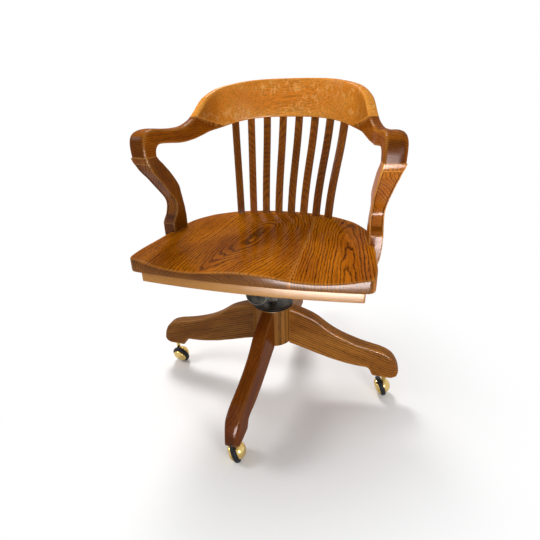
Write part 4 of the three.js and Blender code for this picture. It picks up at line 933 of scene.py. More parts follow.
def make_camera():
    """Camera aimed by azimuth round the chair, elevation above the floor and roll about its own axis."""
    a, e, r = (math.radians(angle) for angle in (CAMERA_AZIMUTH, CAMERA_ELEVATION, CAMERA_ROLL))
    back = Vector((math.sin(a) * math.cos(e), -math.cos(a) * math.cos(e), math.sin(e)))
    level = (-back).cross(Vector((0, 0, 1))).normalized()
    rise = level.cross(-back)
    across = math.cos(r) * level + math.sin(r) * rise
    up = -math.sin(r) * level + math.cos(r) * rise
    data = bpy.data.cameras.new("camera")
    data.lens = CAMERA_LENS
    data.sensor_width = CAMERA_SENSOR
    camera = placed("camera", data)
    turn = Matrix((across, up, back)).transposed().to_4x4()
    camera.matrix_world = Matrix.Translation(Vector(CAMERA_PLACE) * MM) @ turn
    bpy.context.scene.camera = camera


def seen_white(tree):
    """1 on the rays of the camera, of gloss and of glass, which see the surroundings white, else 0."""
    path = node(tree, "LightPath")
    seen = path["Is Camera Ray"]
    for other in ("Is Glossy Ray", "Is Transmission Ray"):
        seen = node(tree, "Math", (seen, path[other]), operation="MAXIMUM")[0]
    return seen


def make_stage():
    """Pale floor that fades to white away from the chair, a white surround, and soft studio lamps."""
    material, tree = new_material("pale_floor")
    place = node(tree, "TexCoord")["Object"]
    away = node(tree, "VectorMath", (place,), operation="LENGTH")["Value"]
    fade = node(tree, "MapRange", (away, *FLOOR_FADE), **SMOOTHED)[0]
    share = node(tree, "Math", (fade, seen_white(tree)), **TIMES)[0]
    paint = node(tree, "BsdfDiffuse", (linear(0xF6F5F3),))[0]
    white = node(tree, "Emission", (linear(0xFFFFFF), 1.0))[0]
    mixed = node(tree, "MixShader", (share, paint, white))[0]
    node(tree, "OutputMaterial", (mixed,))
    disc = bpy.data.meshes.new("floor")
    angle = np.arange(FLOOR_SIDES) / FLOOR_SIDES * 2 * math.pi
    rim = np.column_stack([np.cos(angle), np.sin(angle), 0 * angle]) * FLOOR_RADIUS
    disc.from_pydata(rim.tolist(), [], [list(range(FLOOR_SIDES))])
    disc.materials.append(material)
    placed("floor", disc)

    world = bpy.data.worlds.new("studio")
    bpy.context.scene.world = world
    world.use_nodes = True
    tree = world.node_tree
    tree.nodes.clear()
    lit = node(tree, "Background", (linear(0xF4F6FA), 0.5))[0]
    white = node(tree, "Background", (linear(0xFFFFFF), 1.0))[0]
    mixed = node(tree, "MixShader", (seen_white(tree), lit, white))[0]
    node(tree, "OutputWorld", (mixed,))

    for name, place, size, power in SOFTBOXES:
        lamp = bpy.data.lights.new(name, "AREA")
        lamp.size = size
        lamp.energy = power
        box = placed(name, lamp)
        box.location = place
        box.rotation_euler = (Vector(place) - Vector(LAMP_AIM)).to_track_quat("Z", "Y").to_euler()
        box.visible_camera = False
    box.visible_diffuse = False
    box.light_linking.receiver_collection = varnished


make_camera()
varnished = bpy.data.collections.new("varnished")
make_stage()

# Oak, sawn, stained and varnished: medium brown, golden on the crest, darker on slats, posts and base.
# The seat is broad in the ring and its top is worn dull, and the crest is sawn on the quarter, with flecks.
oak_seat = oak("oak_seat", 0x1E0A01, 0x9C5208, 0xBC6C0E, ring=6.4, haze=0.2, pitted=0.22)
oak_rail = oak("oak_rail", 0x703204, 0xF0922A, 0xFCA83E, ring=2.8, rings=0.35, flecks=0.8, gloss=0.2,
               haze=0.2, wander=0.6, pitted=0.42, rubbed_and_highlit=0.3)
oak_arm = oak("oak_arm", 0x321203, 0x8E4806, 0xAC600C, ring=4.4, rings=0.8, gloss=0.12, haze=0.24, wander=0.5,
              pitted=0.3, rubbed_and_highlit=0.4)
oak_post = oak("oak_post", 0x2C0E02, 0x9C520C, 0xBA6E14, ring=4.2, rings=0.9, haze=0.18, wander=0.3,
               rubbed_and_highlit=0.4)
oak_slat = oak("oak_slat", 0x2A0E02, 0x80420C, 0x9A5812, ring=4.0, rings=0.75, gloss=0.12, wander=0.4,
               rubbed_and_highlit=0.05)
oak_base = oak("oak_base", 0x200C02, 0x885018, 0xA86C2A, ring=5.0, gloss=0.2, haze=0.2, wander=0.3,
               rubbed_and_highlit=0.15)
# the front leg takes the base oak made redder and darker, painted shade for the seat's shadow over it, with
# plainer rings
oak_front_leg_shaded = oak("oak_front_leg_shaded", 0x200A02, 0x8A3F0A, 0xA65A1C, ring=5.0, rings=0.5, gloss=0.2, haze=0.2,
                    wander=0.3, rubbed_and_highlit=0.15)
oak_batten = oak("oak_batten", 0x6A3C08, 0x98600A, 0xB47C1A, ring=3.4, rings=0.5, gloss=0.62, haze=0.34,
                 wander=0.4)
# grey cast iron, blacked and rubbed: sand-cast skin with a dull sheen
cast_iron = metal("blacked_iron", 0x24221F, 0x4A4640, 0.42, 26, 0.85, 1.6, 0.12)
# turned iron, blacked: as the cast iron, but smooth and a little brighter
turned_iron = metal("turned_iron", 0x2E2C29, 0x57534C, 0.34, 18, 0.9)
# steel whose zinc plate has gone dull: mid grey with a blurred sheen
zinc_steel = metal("dull_steel", 0x77746C, 0xA5A198, 0.36, 12)
# brass plate, polished on a wheel: near mirror with a warm yellow body
polished_brass = metal("polished_brass", 0xC8A75C, 0xE2C888, 0.1, 30)
# moulded rubber: matt black, greyed by the floor's dust
tyre_rubber = rubber("moulded_rubber", 0x0E0F11, 0x24262A, 0.52, 1.8)
# pressed fibre: black and dry, with a fine nap
fibre_washer = rubber("pressed_fibre", 0x050607, 0x0C0E11, 0.6, 2.4)

X, Y, Z = (1, 0, 0), (0, 1, 0), (0, 0, 1)


def plan_at(places):
    """Middle line of the rail in plan, with its width, at places counted in rows from the back's middle."""
    half = np.array(RAIL_PLAN_SHARES)
    rows = np.concatenate([half[:0:-1] * [-1, 1, 1], half])
    rows = rows * [RAIL_HALF_WIDTH, -RAIL_DEPTH, ARM_WIDTH] + [0, RAIL_BACK, 0]
    return through(rows, np.asarray(places, float) + len(half) - 1)


def plan_normal(places):
    """Level direction square to the middle line, pointing out of the back."""
    step = plan_at(places + PLAN_STEP_SHARE) - plan_at(places - PLAN_STEP_SHARE)
    return unit(np.column_stack([-step[:, 1], step[:, 0], 0 * step[:, 0]]))


def rail_shape():
    """The bent rail before the scarf is sawn: at each rung the underside and the top have their own place on
    the plan and their own height, the top of the crest leans back, and the four corners are rounded."""
    half = np.array(RAIL_RUNG_SHARES)
    rows = np.concatenate([half[:0:-1] * [-1, 1, -1, 1], half])
    rungs = through(rows, places_along(len(rows), ROW_STEPS))
    under, top = plan_at(rungs[:, 0]), plan_at(rungs[:, 2])
    under_normal, top_normal = plan_normal(rungs[:, 0]), plan_normal(rungs[:, 2])
    lean = CREST_LEAN * (1 - smooth(*RAIL_LEAN_ROW_SHARES, np.abs(rungs[:, 2])))[:, None]
    low = np.column_stack([under[:, :2], ARM_UNDER + rungs[:, 1] * CREST_HEIGHT])
    high = np.column_stack([top[:, :2], ARM_UNDER + rungs[:, 3] * CREST_HEIGHT]) + top_normal * lean
    low_half, high_half = under_normal * under[:, 2:] / 2, top_normal * top[:, 2:] / 2
    corners = np.stack([low - low_half, low + low_half, high + high_half, high - high_half], axis=1)
    knuckle = smooth(*KNUCKLE_ROW_SHARES, np.abs(rungs[:, 2:3]))
    outer = RAIL_TOP_ROUND + (KNUCKLE_ROUND - RAIL_TOP_ROUND) * knuckle
    radii = (RAIL_LOWER_ROUND, RAIL_LOWER_ROUND, outer, RAIL_TOP_ROUND)
    return skin(rounded(corners, radii, RAIL_FLATS))


def slat_ends(pair):
    """Foot on the seat's arc and head under the crest, where the rail's plan has run the pair's distance."""
    turn = (pair + 0.5) * SLAT_FOOT_PITCH / SLAT_FOOT_ARC_RADIUS
    foot = np.array([SLAT_FOOT_ARC_RADIUS * math.sin(turn),
                     SLAT_FOOT_BACK - SLAT_FOOT_ARC_RADIUS * (1 - math.cos(turn)), SEAT_TOP])
    places = np.arange(0, SLAT_HEAD_ROWS, PLAN_STEP_SHARE)
    line = plan_at(places)[:, :2]
    run = np.concatenate([[0], np.cumsum(np.linalg.norm(np.diff(line, axis=0), axis=1))])
    wanted = (pair + 0.5) * SLAT_HEAD_PITCH
    place = np.interp(wanted, run, places)
    rungs = np.array(RAIL_RUNG_SHARES)
    height = ARM_UNDER + CREST_HEIGHT * np.interp(place, rungs[:, 0], rungs[:, 1])
    x, y = (np.interp(wanted, run, line[:, n]) for n in (0, 1))
    return foot, np.array([x, y, height])


def slat_shape(pair, grow=0.0):
    """S-curved slat: its section is a rounded oblong that slides from foot to head as it rises, with a
    tenon at each end."""
    foot, head = slat_ends(pair)
    along = unit(np.array([head[0] - foot[0], head[1] - foot[1], 0]))
    across = np.array([along[1], -along[0], 0])
    rows = np.array(SLAT_CURVE_SHARES)
    curve = through(rows, places_along(len(rows), ROW_STEPS))
    heights = foot[2] + (head[2] - foot[2]) * curve[:, 0]
    slope = (1 - rows[-2, 1]) / ((1 - rows[-2, 0]) * (head[2] - foot[2]))
    heights = np.concatenate([[foot[2] - SLAT_TENON - grow], heights, [head[2] + SLAT_TENON + grow]])
    shares = np.concatenate([[0], curve[:, 1], [1 + slope * SLAT_TENON]])
    middle = np.column_stack([foot[:2] + (head - foot)[:2] * shares[:, None], heights])
    half, deep = SLAT_WIDTH / 2 + grow, SLAT_THICKNESS / 2 + grow
    corners = np.stack([middle + across * a + along * b
                        for a, b in ((-half, -deep), (half, -deep), (half, deep), (-half, deep))], axis=1)
    return skin(rounded(corners, (SLAT_ROUND,) * 4))


def post_corners(rows, grow=0.0):
    """Four corners of the post's section at each row, front inner, front outer, rear outer, rear inner."""
    height, front, rear, inner, width, turn = np.asarray(rows, float).T
    z = POST_BOTTOM + height * POST_HEIGHT
    front_y = KNUCKLE_FRONT + front * POST_REACH - grow
    rear_y = KNUCKLE_FRONT + rear * POST_REACH + grow
    inner_x = POST_FOOT_X + inner * POST_FLARE - grow
    wide = width * ARM_WIDTH + 2 * grow
    toe = POST_TOE_SHARE * (rear_y - front_y)
    skew = turn * POST_SKEW
    across = ((inner_x, front_y), (inner_x + wide, front_y + skew),
              (inner_x + wide - toe, rear_y + skew), (inner_x - toe, rear_y))
    return np.stack([np.column_stack([x, y, z]) for x, y in across], axis=1)


def post_row_at(z):
    """The post's row of shares at one height, read straight between its rows."""
    rows = np.array(POST_ROW_SHARES)[::-1]
    share = (z - POST_BOTTOM) / POST_HEIGHT
    return [[np.interp(share, rows[:, 0], column) for column in rows.T]]


def post_shape():
    """S-shaped post: smooth through its rows down to the shoulder and straight below it. The front face is
    sunk by the field's depth inside a border. Also gives painted shade at each point: full where the wall
    of the field meets its floor, and half of it down by the seat."""
    upper = through(POST_ROW_SHARES[:POST_SHOULDER_ROW + 1], places_along(POST_SHOULDER_ROW + 1, ROW_STEPS))
    lower = np.array(POST_ROW_SHARES[POST_SHOULDER_ROW:])
    places = places_along(len(lower), ROW_STEPS)[1:]
    lower = np.column_stack([np.interp(places, np.arange(len(lower)), column) for column in lower.T])
    corners = post_corners(np.concatenate([upper, lower]))
    corners[0, :, 2] -= TOUCH
    rings = rounded(corners, POST_ROUNDS, POST_FLATS)
    face = slice(CORNER_STEPS - 1, CORNER_STEPS + POST_FLATS[0] + 1)
    front = rings[:, face]
    sides = corners[:, 0][:, None], corners[:, 1][:, None]
    border = np.minimum(*(np.linalg.norm(front - side, axis=-1) for side in sides))
    z = corners[:, :1, 2]
    inside = smooth(FIELD_BORDER - FIELD_WALL / 2, FIELD_BORDER + FIELD_WALL / 2, border)
    inside = inside * smooth(FIELD_BOTTOM, FIELD_BOTTOM + FIELD_FOOT_RUN, z)
    inside = inside * (1 - smooth(FIELD_TOP - FIELD_HEAD_RUN, FIELD_TOP, z))
    front[..., 1] += FIELD_DEPTH * inside
    # painted shade on the post, darker towards the seat
    low = SEAT_SHADE_SHARE * (1 - smooth(SEAT_TOP, FIELD_BOTTOM + SEAT_SHADE_RUN, z))
    painted_shade = low + np.zeros(rings.shape[:2])
    # painted shade in the corners where the field's wall meets its floor
    groove = inside * (1 - smooth(*FIELD_SHADE_RUN, border - FIELD_BORDER))
    painted_shade[:, face] = np.maximum(painted_shade[:, face], groove)
    return skin(rings), np.append(painted_shade.ravel(), (0, 0))


def screw_shape(radius, head_radius, head, deep):
    """Slotted screw along +Z from its head: a low domed head, a slot cut across it and a plain shank."""
    body = turned([(0, 0), (head_radius - head / 4, 0), (head_radius, head / 2), (head_radius, head),
                   (radius, head), (radius, deep - radius), (0, deep)], SCREW_EASE, SCREW_SIDES)
    slot = block((-head_radius * 2, -head_radius / 9, -head), (head_radius * 2, head_radius / 9, head / 2))
    return worked(body, ("DIFFERENCE", [slot]))


def post_screw_shapes():
    """Two screws from the outside of the post's foot into the seat."""
    front_inner, front_outer, rear_outer, _ = post_corners(post_row_at(POST_SCREW_Z))[0]
    inward = unit(front_inner - front_outer)
    side = np.cross((0, 0, 1), inward)
    turn = np.stack([side, np.cross(inward, side), inward])
    deep = POST_SCREW_DEEP + ARM_WIDTH / 2
    points, faces = screw_shape(POST_SCREW_RADIUS, POST_SCREW_HEAD_RADIUS, POST_SCREW_HEAD, deep)
    starts = [front_outer + (rear_outer - front_outer) * share + inward * (TOUCH + POST_SCREW_HEAD / 2)
              for share in POST_SCREW_SHARES]
    return [(points @ turn + start, faces) for start in starts]


def foot_notch():
    """Room for the post's foot in the seat's edge, open to the side."""
    front_inner, front_outer, rear_outer, rear_inner = post_corners(post_row_at(POST_SCREW_Z), TOUCH)[0]
    reach = SEAT_HALF_WIDTH / ARM_WIDTH
    around = [front_inner, front_inner + (front_outer - front_inner) * reach,
              rear_inner + (rear_outer - rear_inner) * reach, rear_inner]
    rings = [[(x, y, z) for x, y, _ in around] for z in (SEAT_BOTTOM - TOUCH * 9, SEAT_TOP + TOUCH * 9)]
    return skin(rings)


def seat_outline():
    """Smooth closed outline from the front's middle, round by the right, and back on the left."""
    half = through(SEAT_OUTLINE_SHARES, places_along(len(SEAT_OUTLINE_SHARES), OUTLINE_STEPS))
    half = half * [SEAT_HALF_WIDTH, SEAT_DEPTH] + [0, SEAT_FRONT]
    return np.concatenate([half, half[-2:0:-1] * [-1, 1]])


def seat_ring(outline, ring, z, hollow):
    """The outline shrunk towards the seat's middle, at height z less the hollow: a bowl inside a flat rim,
    which runs out through the front edge as two thigh channels with a pommel between them."""
    x = outline[:, 0] * ring
    y = SEAT_MIDDLE + (outline[:, 1] - SEAT_MIDDLE) * ring
    x = x + SEAT_FRONT_DRIFT * (1 - smooth(SEAT_FRONT, SEAT_MIDDLE, y))
    across = np.clip(np.abs(x) / SEAT_HALF_WIDTH, 0, 1)
    back = (y - SEAT_FRONT) / SEAT_DEPTH
    thigh = through(np.array(THIGH_SHARES)[:, None], across * (len(THIGH_SHARES) - 1))[:, 0]
    channel = 1 - smooth(*CHANNEL_SHARES, back)
    bowl = 1 - smooth(*BOWL_RIM_SHARES, ring)
    sunk = SCOOP_DEPTH * (bowl + (thigh - bowl) * channel) if hollow else 0
    return np.column_stack([x, y, z - sunk + 0 * x])


def slat_rooms():
    """Room for the eight slats in the seat and in the crest."""
    rooms = [slat_shape(pair, TOUCH) for pair in range(SLAT_PAIRS)]
    return [*rooms, *[flipped(room) for room in rooms]]


def seat_shape():
    """Seat board: rings of the outline from below, round the lower edge, up the side, round the top edge
    and in over the carved top, then cut for the slats and the post feet."""
    outline = seat_outline()

    def inset(length):
        """Share of the outline that is left a length in from its edge."""
        return 1 - length / SEAT_HALF_WIDTH

    quarter = [(1 - math.sin(a), 1 - math.cos(a)) for a in np.linspace(0, math.pi / 2, CORNER_STEPS)]
    rows = [(inset(SEAT_LOWER_ROUND * s), SEAT_BOTTOM + SEAT_LOWER_ROUND * c, False) for s, c in quarter]
    rows += [(inset(SEAT_TOP_ROUND * c), SEAT_TOP - SEAT_TOP_ROUND * s, True) for s, c in quarter]
    carved = np.linspace(inset(SEAT_TOP_ROUND), SEAT_EYE_SHARE, SEAT_RINGS)[1:]
    rows += [(share, SEAT_TOP, True) for share in carved]
    body = skin([seat_ring(outline, *row) for row in rows])
    return worked(body, ("DIFFERENCE", [*slat_rooms(), foot_notch(), flipped(foot_notch())]))


def batten(outline):
    """Flat batten under the seat, the corners of its outline and its long edges eased."""
    outline = [tuple(point) for point in outline]
    around = np.array(eased([*outline, outline[0]], OUTLINE_EASE)[:-1])
    return plate(around, SEAT_BOTTOM - TOUCH - BATTEN_THICKNESS, SEAT_BOTTOM - TOUCH, BATTEN_ROUND)


def front_batten_shape():
    """Bowed batten: it follows the seat's front edge at a setback and stops short of both sides."""
    half = np.array(SEAT_OUTLINE_SHARES[:4]) * [SEAT_HALF_WIDTH, SEAT_DEPTH] + [0, SEAT_FRONT]
    half[:, 1] += FRONT_BATTEN_SETBACK
    corner = SEAT_FRONT + SEAT_OUTLINE_SHARES[4][1] * SEAT_DEPTH + FRONT_BATTEN_SETBACK
    rear = SEAT_FRONT + FRONT_BATTEN_SETBACK + FRONT_BATTEN_DEPTH
    half = [*half.tolist(), (FRONT_BATTEN_HALF, corner), (FRONT_BATTEN_HALF, rear)]
    return batten(half + [(-x, y) for x, y in half[:0:-1]])


def rear_batten_shape():
    """Straight batten under the back of the seat."""
    x, front, rear = REAR_BATTEN_HALF, REAR_BATTEN_FRONT, REAR_BATTEN_FRONT + REAR_BATTEN_DEPTH
    return batten([(-x, front), (x, front), (x, rear), (-x, rear)])


def leg_shape():
    """Leg along +X: at each rung the underside and the top have their own distance and height, the top
    edges are well rounded, the toe narrows, and the end that meets the hub is cut to its round."""
    rungs = through(LEG_RUNG_SHARES, places_along(len(LEG_RUNG_SHARES), ROW_STEPS))

    def corner(along, height, side):
        """One corner of the section at every rung, on one side of the leg."""
        half = LEG_HALF_THICKNESS + (LEG_TOE_HALF - LEG_HALF_THICKNESS) * smooth(*LEG_TOE_SHARES, along)
        return np.column_stack([along * LEG_REACH, side * half, LEG_PAD + height * LEG_CROWN])

    corners = np.stack([corner(rungs[:, 0], rungs[:, 1], -1), corner(rungs[:, 0], rungs[:, 1], 1),
                        corner(rungs[:, 2], rungs[:, 3], 1), corner(rungs[:, 2], rungs[:, 3], -1)], axis=1)
    radii = (LEG_LOWER_ROUND, LEG_LOWER_ROUND, LEG_TOP_ROUND, LEG_TOP_ROUND)
    body = skin(rounded(corners, radii, LEG_FLATS))
    hub_room = rod(HUB_RADIUS + TOUCH, HUB_BOTTOM / 2, HUB_TOP * 1.2, 0)
    stem_room = moved(rod(STEM_RADIUS + SOCKET_WALL + 3 * TOUCH, LEG_PAD - HUB_ROUND,
                          LEG_PAD + SOCKET_LENGTH + TOUCH, 0), x=STEM_CIRCLE_RADIUS)
    return worked(body, ("DIFFERENCE", [hub_room, stem_room]))


def spring_shape(first, last):
    """Coil about the stud from one turn to another: its middle circles at the coil's radius and moves along Y
    by the open pitch a turn, but by the closed pitch in the spring's first and last turn; its section is a
    circle."""
    closed = 2 * SPRING_WIRE_RADIUS + SPRING_CLOSED_GAP
    length = SPRING_REAR - SPRING_FRONT - 2 * SPRING_WIRE_RADIUS
    opened = (length - 2 * closed) / (SPRING_TURNS - 2)
    turns = np.linspace(first, last, int((last - first) * SPRING_STEPS) + 1)
    ends = np.minimum(1, turns) + np.maximum(0, turns - (SPRING_TURNS - 1))
    y = SPRING_FRONT + SPRING_WIRE_RADIUS + closed * ends + opened * (turns - ends)
    angle = turns * 2 * math.pi
    out = np.column_stack([np.cos(angle), 0 * angle, np.sin(angle)])
    middle = out * SPRING_RADIUS + np.column_stack([0 * y, y, 0 * y + STUD_Z])
    around = np.arange(WIRE_SIDES) / WIRE_SIDES * 2 * math.pi
    ring = out[:, None] * np.cos(around)[None, :, None] + np.array(Y) * np.sin(around)[None, :, None]
    return skin(middle[:, None] + ring * SPRING_WIRE_RADIUS)


def housing_shape():
    """Casting on the spindle's head: a flared body, a boss across its top for the pin and one in front for
    the stud."""
    body = turned([(SPINDLE_RADIUS + TOUCH, HOUSING_BOTTOM), (HOUSING_RADIUS, HOUSING_BOTTOM),
                   (HOUSING_RADIUS, PIVOT_Z), (0, PIVOT_Z), (0, SPINDLE_TOP + TOUCH),
                   (SPINDLE_RADIUS + TOUCH, SPINDLE_TOP + TOUCH), (SPINDLE_RADIUS + TOUCH, HOUSING_BOTTOM)],
                  CAST_EASE)
    boss = on_pivot(rod(PIVOT_BOSS_RADIUS, -PIVOT_BOSS_HALF, PIVOT_BOSS_HALF, CAST_EASE))
    web = block((-HOUSING_WEB_HALF, -PIVOT_BOSS_RADIUS, SPINDLE_TOP + TOUCH * 2),
                (HOUSING_WEB_HALF, PIVOT_BOSS_RADIUS, PIVOT_Z + PIVOT_BOSS_RADIUS / 2))
    boss_ends = -HOUSING_RADIUS - STUD_BOSS_LENGTH, -SPINDLE_RADIUS - STUD_BOSS_ROOT
    stud_boss = on_stud(rod(STUD_BOSS_RADIUS, *boss_ends, SOFT_EASE))
    pin_hole = on_pivot(rod(PIVOT_PIN_RADIUS + TOUCH, -HUB_RADIUS, HUB_RADIUS, 0))
    stud_hole = on_stud(rod(STUD_RADIUS + TOUCH, -HUB_RADIUS, 0, 0))
    return worked(body, ("UNION", [boss]), ("UNION", [web]), ("UNION", [stud_boss]),
                  ("DIFFERENCE", [pin_hole]), ("DIFFERENCE", [stud_hole]))


def pin_shape():
    """Pivot pin with a riveted dome at each end."""
    end = PIVOT_BOSS_HALF + 2 * EAR_GAP + EAR_THICKNESS
    dome = [(PIVOT_HEAD_RADIUS * out, PIVOT_HEAD * up) for out, up in PIVOT_HEAD_SHARES]
    low = [(0, -end - PIVOT_HEAD)] + [(r, -end - h) for r, h in dome] + [(PIVOT_HEAD_RADIUS, -end)]
    profile = low + [(PIVOT_PIN_RADIUS, -end), (PIVOT_PIN_RADIUS, end)] + [(r, -z) for r, z in low[::-1]]
    return on_pivot(turned(profile, PIN_EASE, PIN_SIDES))


def knob_shape():
    """Turned cap: a flat face with a shallow ring groove, a rolled rim, hollow behind, and a long nut."""
    bore, inner = STUD_RADIUS + TOUCH, KNOB_RADIUS - KNOB_WALL
    groove, floor = KNOB_WALL / 2, KNOB_WALL * 2
    profile = [(bore, 0), (KNOB_HUB_RADIUS, 0), (KNOB_HUB_RADIUS + KNOB_WALL, groove),
               (inner - KNOB_WALL, groove), (inner, 0), (KNOB_RADIUS, KNOB_WALL),
               (KNOB_RADIUS, KNOB_RIM_DEPTH), (inner, KNOB_RIM_DEPTH), (inner, floor),
               (KNOB_HUB_RADIUS, floor), (KNOB_HUB_RADIUS, KNOB_HUB_LENGTH), (bore, KNOB_HUB_LENGTH),
               (bore, 0)]
    return on_stud(turned(profile, SOFT_EASE), KNOB_FRONT)


# Casters are made about a stem on Z: the ball trails along +X and its axle points to +Y and down
TILT = math.radians(AXLE_TILT)
TYRE_BACK = TYRE_OFFSET - TYRE_WIDTH / 2
TYRE_FRONT = TYRE_OFFSET + TYRE_WIDTH / 2
TYRE_SEAT = TYRE_RADIUS - TYRE_DEPTH
BALL_Z = TYRE_RADIUS * math.cos(TILT) + (TYRE_FRONT - TYRE_EDGE) * math.sin(TILT)
SOCKET_FLANGE_TOP = LEG_PAD - TOUCH
SHOULDER_TOP = SOCKET_FLANGE_TOP - SOCKET_FLANGE - TOUCH


def on_axle(shape):
    """A shape made upright about Z, laid on the sloping axle through the ball's middle."""
    points, faces = shape
    axle = np.array([0, math.cos(TILT), -math.sin(TILT)])
    side = np.array([-1, 0, 0])
    turn = np.stack([side, np.cross(axle, side), axle])
    return points @ turn + np.array([CASTER_TRAIL, 0, BALL_Z]), faces


def arc(radius, start, stop, steps):
    """Points of a ball's section: radius times the sine of the angle, and minus radius times its cosine."""
    angle = np.linspace(start, stop, steps)
    return [(radius * math.sin(a), -radius * math.cos(a)) for a in angle]


def hood_shape():
    """Brass hood: the rear half of a hollow ball with a boss for the axle, and a horn up to the stem."""
    edge = TYRE_BACK - TOUCH
    inner = BALL_RADIUS - HOOD_WALL
    bore = AXLE_RADIUS + TOUCH
    outer_stop, inner_stop = math.acos(-edge / BALL_RADIUS), math.acos(-edge / inner)
    profile = [*arc(BALL_RADIUS, 0, outer_stop, HOOD_STEPS),
               *arc(inner, inner_stop, math.asin(HOOD_BOSS_RADIUS / inner), ARC_STEPS),
               (HOOD_BOSS_RADIUS, HOOD_BOSS_FACE), (bore, HOOD_BOSS_FACE), (bore, AXLE_BACK - TOUCH),
               (0, AXLE_BACK - TOUCH)]
    shell = on_axle(turned(profile, 0))
    horn = rod(HORN_RADIUS, BALL_Z + HORN_DEEP, SHOULDER_TOP - STEM_SHOULDER / 2, 0)
    low, high = SHOULDER_TOP - STEM_SHOULDER, LEG_PAD + STEM_LENGTH
    wide = STEM_SHOULDER_RADIUS
    neck = turned([(0, low), (wide - STEM_BEVEL, low), (wide, low + STEM_BEVEL), (wide, SHOULDER_TOP),
                   (STEM_RADIUS, SHOULDER_TOP), (STEM_RADIUS, high), (0, high)], SCREW_EASE)
    wheel_room = on_axle(rod(TYRE_RADIUS + 2 * TOUCH, edge, TYRE_RADIUS, 0))
    return worked(shell, ("UNION", [horn]), ("DIFFERENCE", [wheel_room]), ("UNION", [neck]))


def wheel_shape():
    """Brass wheel: a domed cap that ends in the ball's outline, a rim under the tyre and a hub behind."""
    seat = TYRE_SEAT - TOUCH
    bore, hub_back = AXLE_RADIUS + TOUCH, HOOD_BOSS_FACE + TOUCH
    rise, cap_inside = WHEEL_DOME - TYRE_FRONT, AXLE_FRONT + TOUCH
    angles = [a * math.pi / 2 for a in np.linspace(0, 1, DOME_STEPS)]
    dome = [(seat * math.sin(a), TYRE_FRONT + rise * math.cos(a) ** WHEEL_DOME_POWER) for a in angles]
    profile = [*dome, (seat, TYRE_BACK + TOUCH), (seat - WHEEL_WALL, TYRE_BACK + TOUCH),
               (seat - WHEEL_WALL, TYRE_FRONT - WHEEL_WALL), (WHEEL_HUB_RADIUS, TYRE_FRONT + TOUCH),
               (WHEEL_HUB_RADIUS, hub_back), (bore, hub_back), (bore, cap_inside), (0, cap_inside)]
    return on_axle(turned(profile, THIN_EASE))


def tyre_shape():
    """Rubber tyre with rounded shoulders."""
    return on_axle(turned([
        (TYRE_SEAT, TYRE_BACK), (TYRE_RADIUS - TYRE_EDGE, TYRE_BACK), (TYRE_RADIUS, TYRE_BACK + TYRE_EDGE),
        (TYRE_RADIUS, TYRE_FRONT - TYRE_EDGE), (TYRE_RADIUS - TYRE_EDGE, TYRE_FRONT), (TYRE_SEAT, TYRE_FRONT),
        (TYRE_SEAT, TYRE_BACK)], TYRE_EASE))


def socket_shape():
    """Pressed socket in the leg: a thin tube with a flange below."""
    bore = STEM_RADIUS + TOUCH
    heights = SOCKET_FLANGE_TOP - SOCKET_FLANGE, SOCKET_FLANGE_TOP, LEG_PAD + SOCKET_LENGTH
    return flanged_tube(bore, SOCKET_FLANGE_RADIUS, bore + SOCKET_WALL, heights, THIN_EASE, PIN_SIDES)


# Upper part
seat = seat_shape()
glue_normal = unit(np.array(SEAT_GLUE_NORMAL, float))
seat_boards = [sliced(seat, SEAT_GLUE_POINT, glue_normal), sliced(seat, SEAT_GLUE_POINT, -glue_normal)]
finish_piece("seat_board", seat_boards, oak_seat, "upper", "seat", dulled=SEAT_DULLED, boards=[
    board((0.14, 1, 0), (-1, 0, 0), SEAT_LEFT_PITH, bow=SEAT_LEFT_BOW),
    board((-0.07, 1, -0.02), (-1, 0, 0), SEAT_RIGHT_PITH, SEAT_RIGHT_TONE, SEAT_RIGHT_BOW)])
finish_piece("front_seat_batten", [front_batten_shape()], oak_batten, "upper", "front_batten",
             boards=[board(X, Y, FRONT_BATTEN_PITH)])
finish_piece("rear_seat_batten", [rear_batten_shape()], oak_batten, "upper", "rear_batten",
             boards=[board(X, Y, REAR_BATTEN_PITH, REAR_BATTEN_TONE)])

rail = rail_shape()
scarf_normal = unit(np.array([0, SCARF_RISE_SHARE, 1]))
scarf_point = np.array([0, SCARF_Y, SCARF_Z])
crest = sliced(rail, scarf_point + scarf_normal * TOUCH / 2, -scarf_normal)
both_arms = sliced(rail, scarf_point - scarf_normal * TOUCH / 2, scarf_normal)
right_arm = sliced(both_arms, (0, 0, 0), (-1, 0, 0))
crest = worked(crest, ("DIFFERENCE", slat_rooms()))
finish_piece("crest", [crest], oak_rail, "upper", "crest_rail",
             boards=[board((1, 0, 0.04), Y, CREST_PITH)])

right_post, post_painted_shade = post_shape()
right_screws = post_screw_shapes()
for k, (word, side) in enumerate((("left", -1), ("right", 1))):
    finish_piece(f"{word}_arm", [sided(right_arm, side)], oak_arm, "upper", f"arm_{word}",
                 boards=[board((side * 0.18, -1, 0.03), X, sided_place(ARM_PITH, side))])
    sawn = board((0, 0.3, -1), X, sided_place(POST_PITH, side), POST_LIGHT_AND_SHADE_TONES[k])
    finish_piece(f"{word}_post", [sided(right_post, side)], oak_post, "upper", f"post_{word}",
                 boards=[sawn], painted_shade=post_painted_shade)
    for n, screw in enumerate(right_screws):
        finish_piece(f"{word}_post_screw_{n + 1}", [sided(screw, side)], zinc_steel, "upper",
                     f"post_screw_{word}_{n + 1}")
    for pair in range(SLAT_PAIRS):
        pith = sided_place(np.array(SLAT_PITH) + np.array(SLAT_PITH_STEP) * pair, side)
        sawn = board((0, 0.12, 1), X, pith, SLAT_TONES[k][pair])
        finish_piece(f"{word}_slat_{pair + 1}", [sided(slat_shape(pair), side)], oak_slat, "upper",
                     f"slat_{word}_{pair + 1}", boards=[sawn])

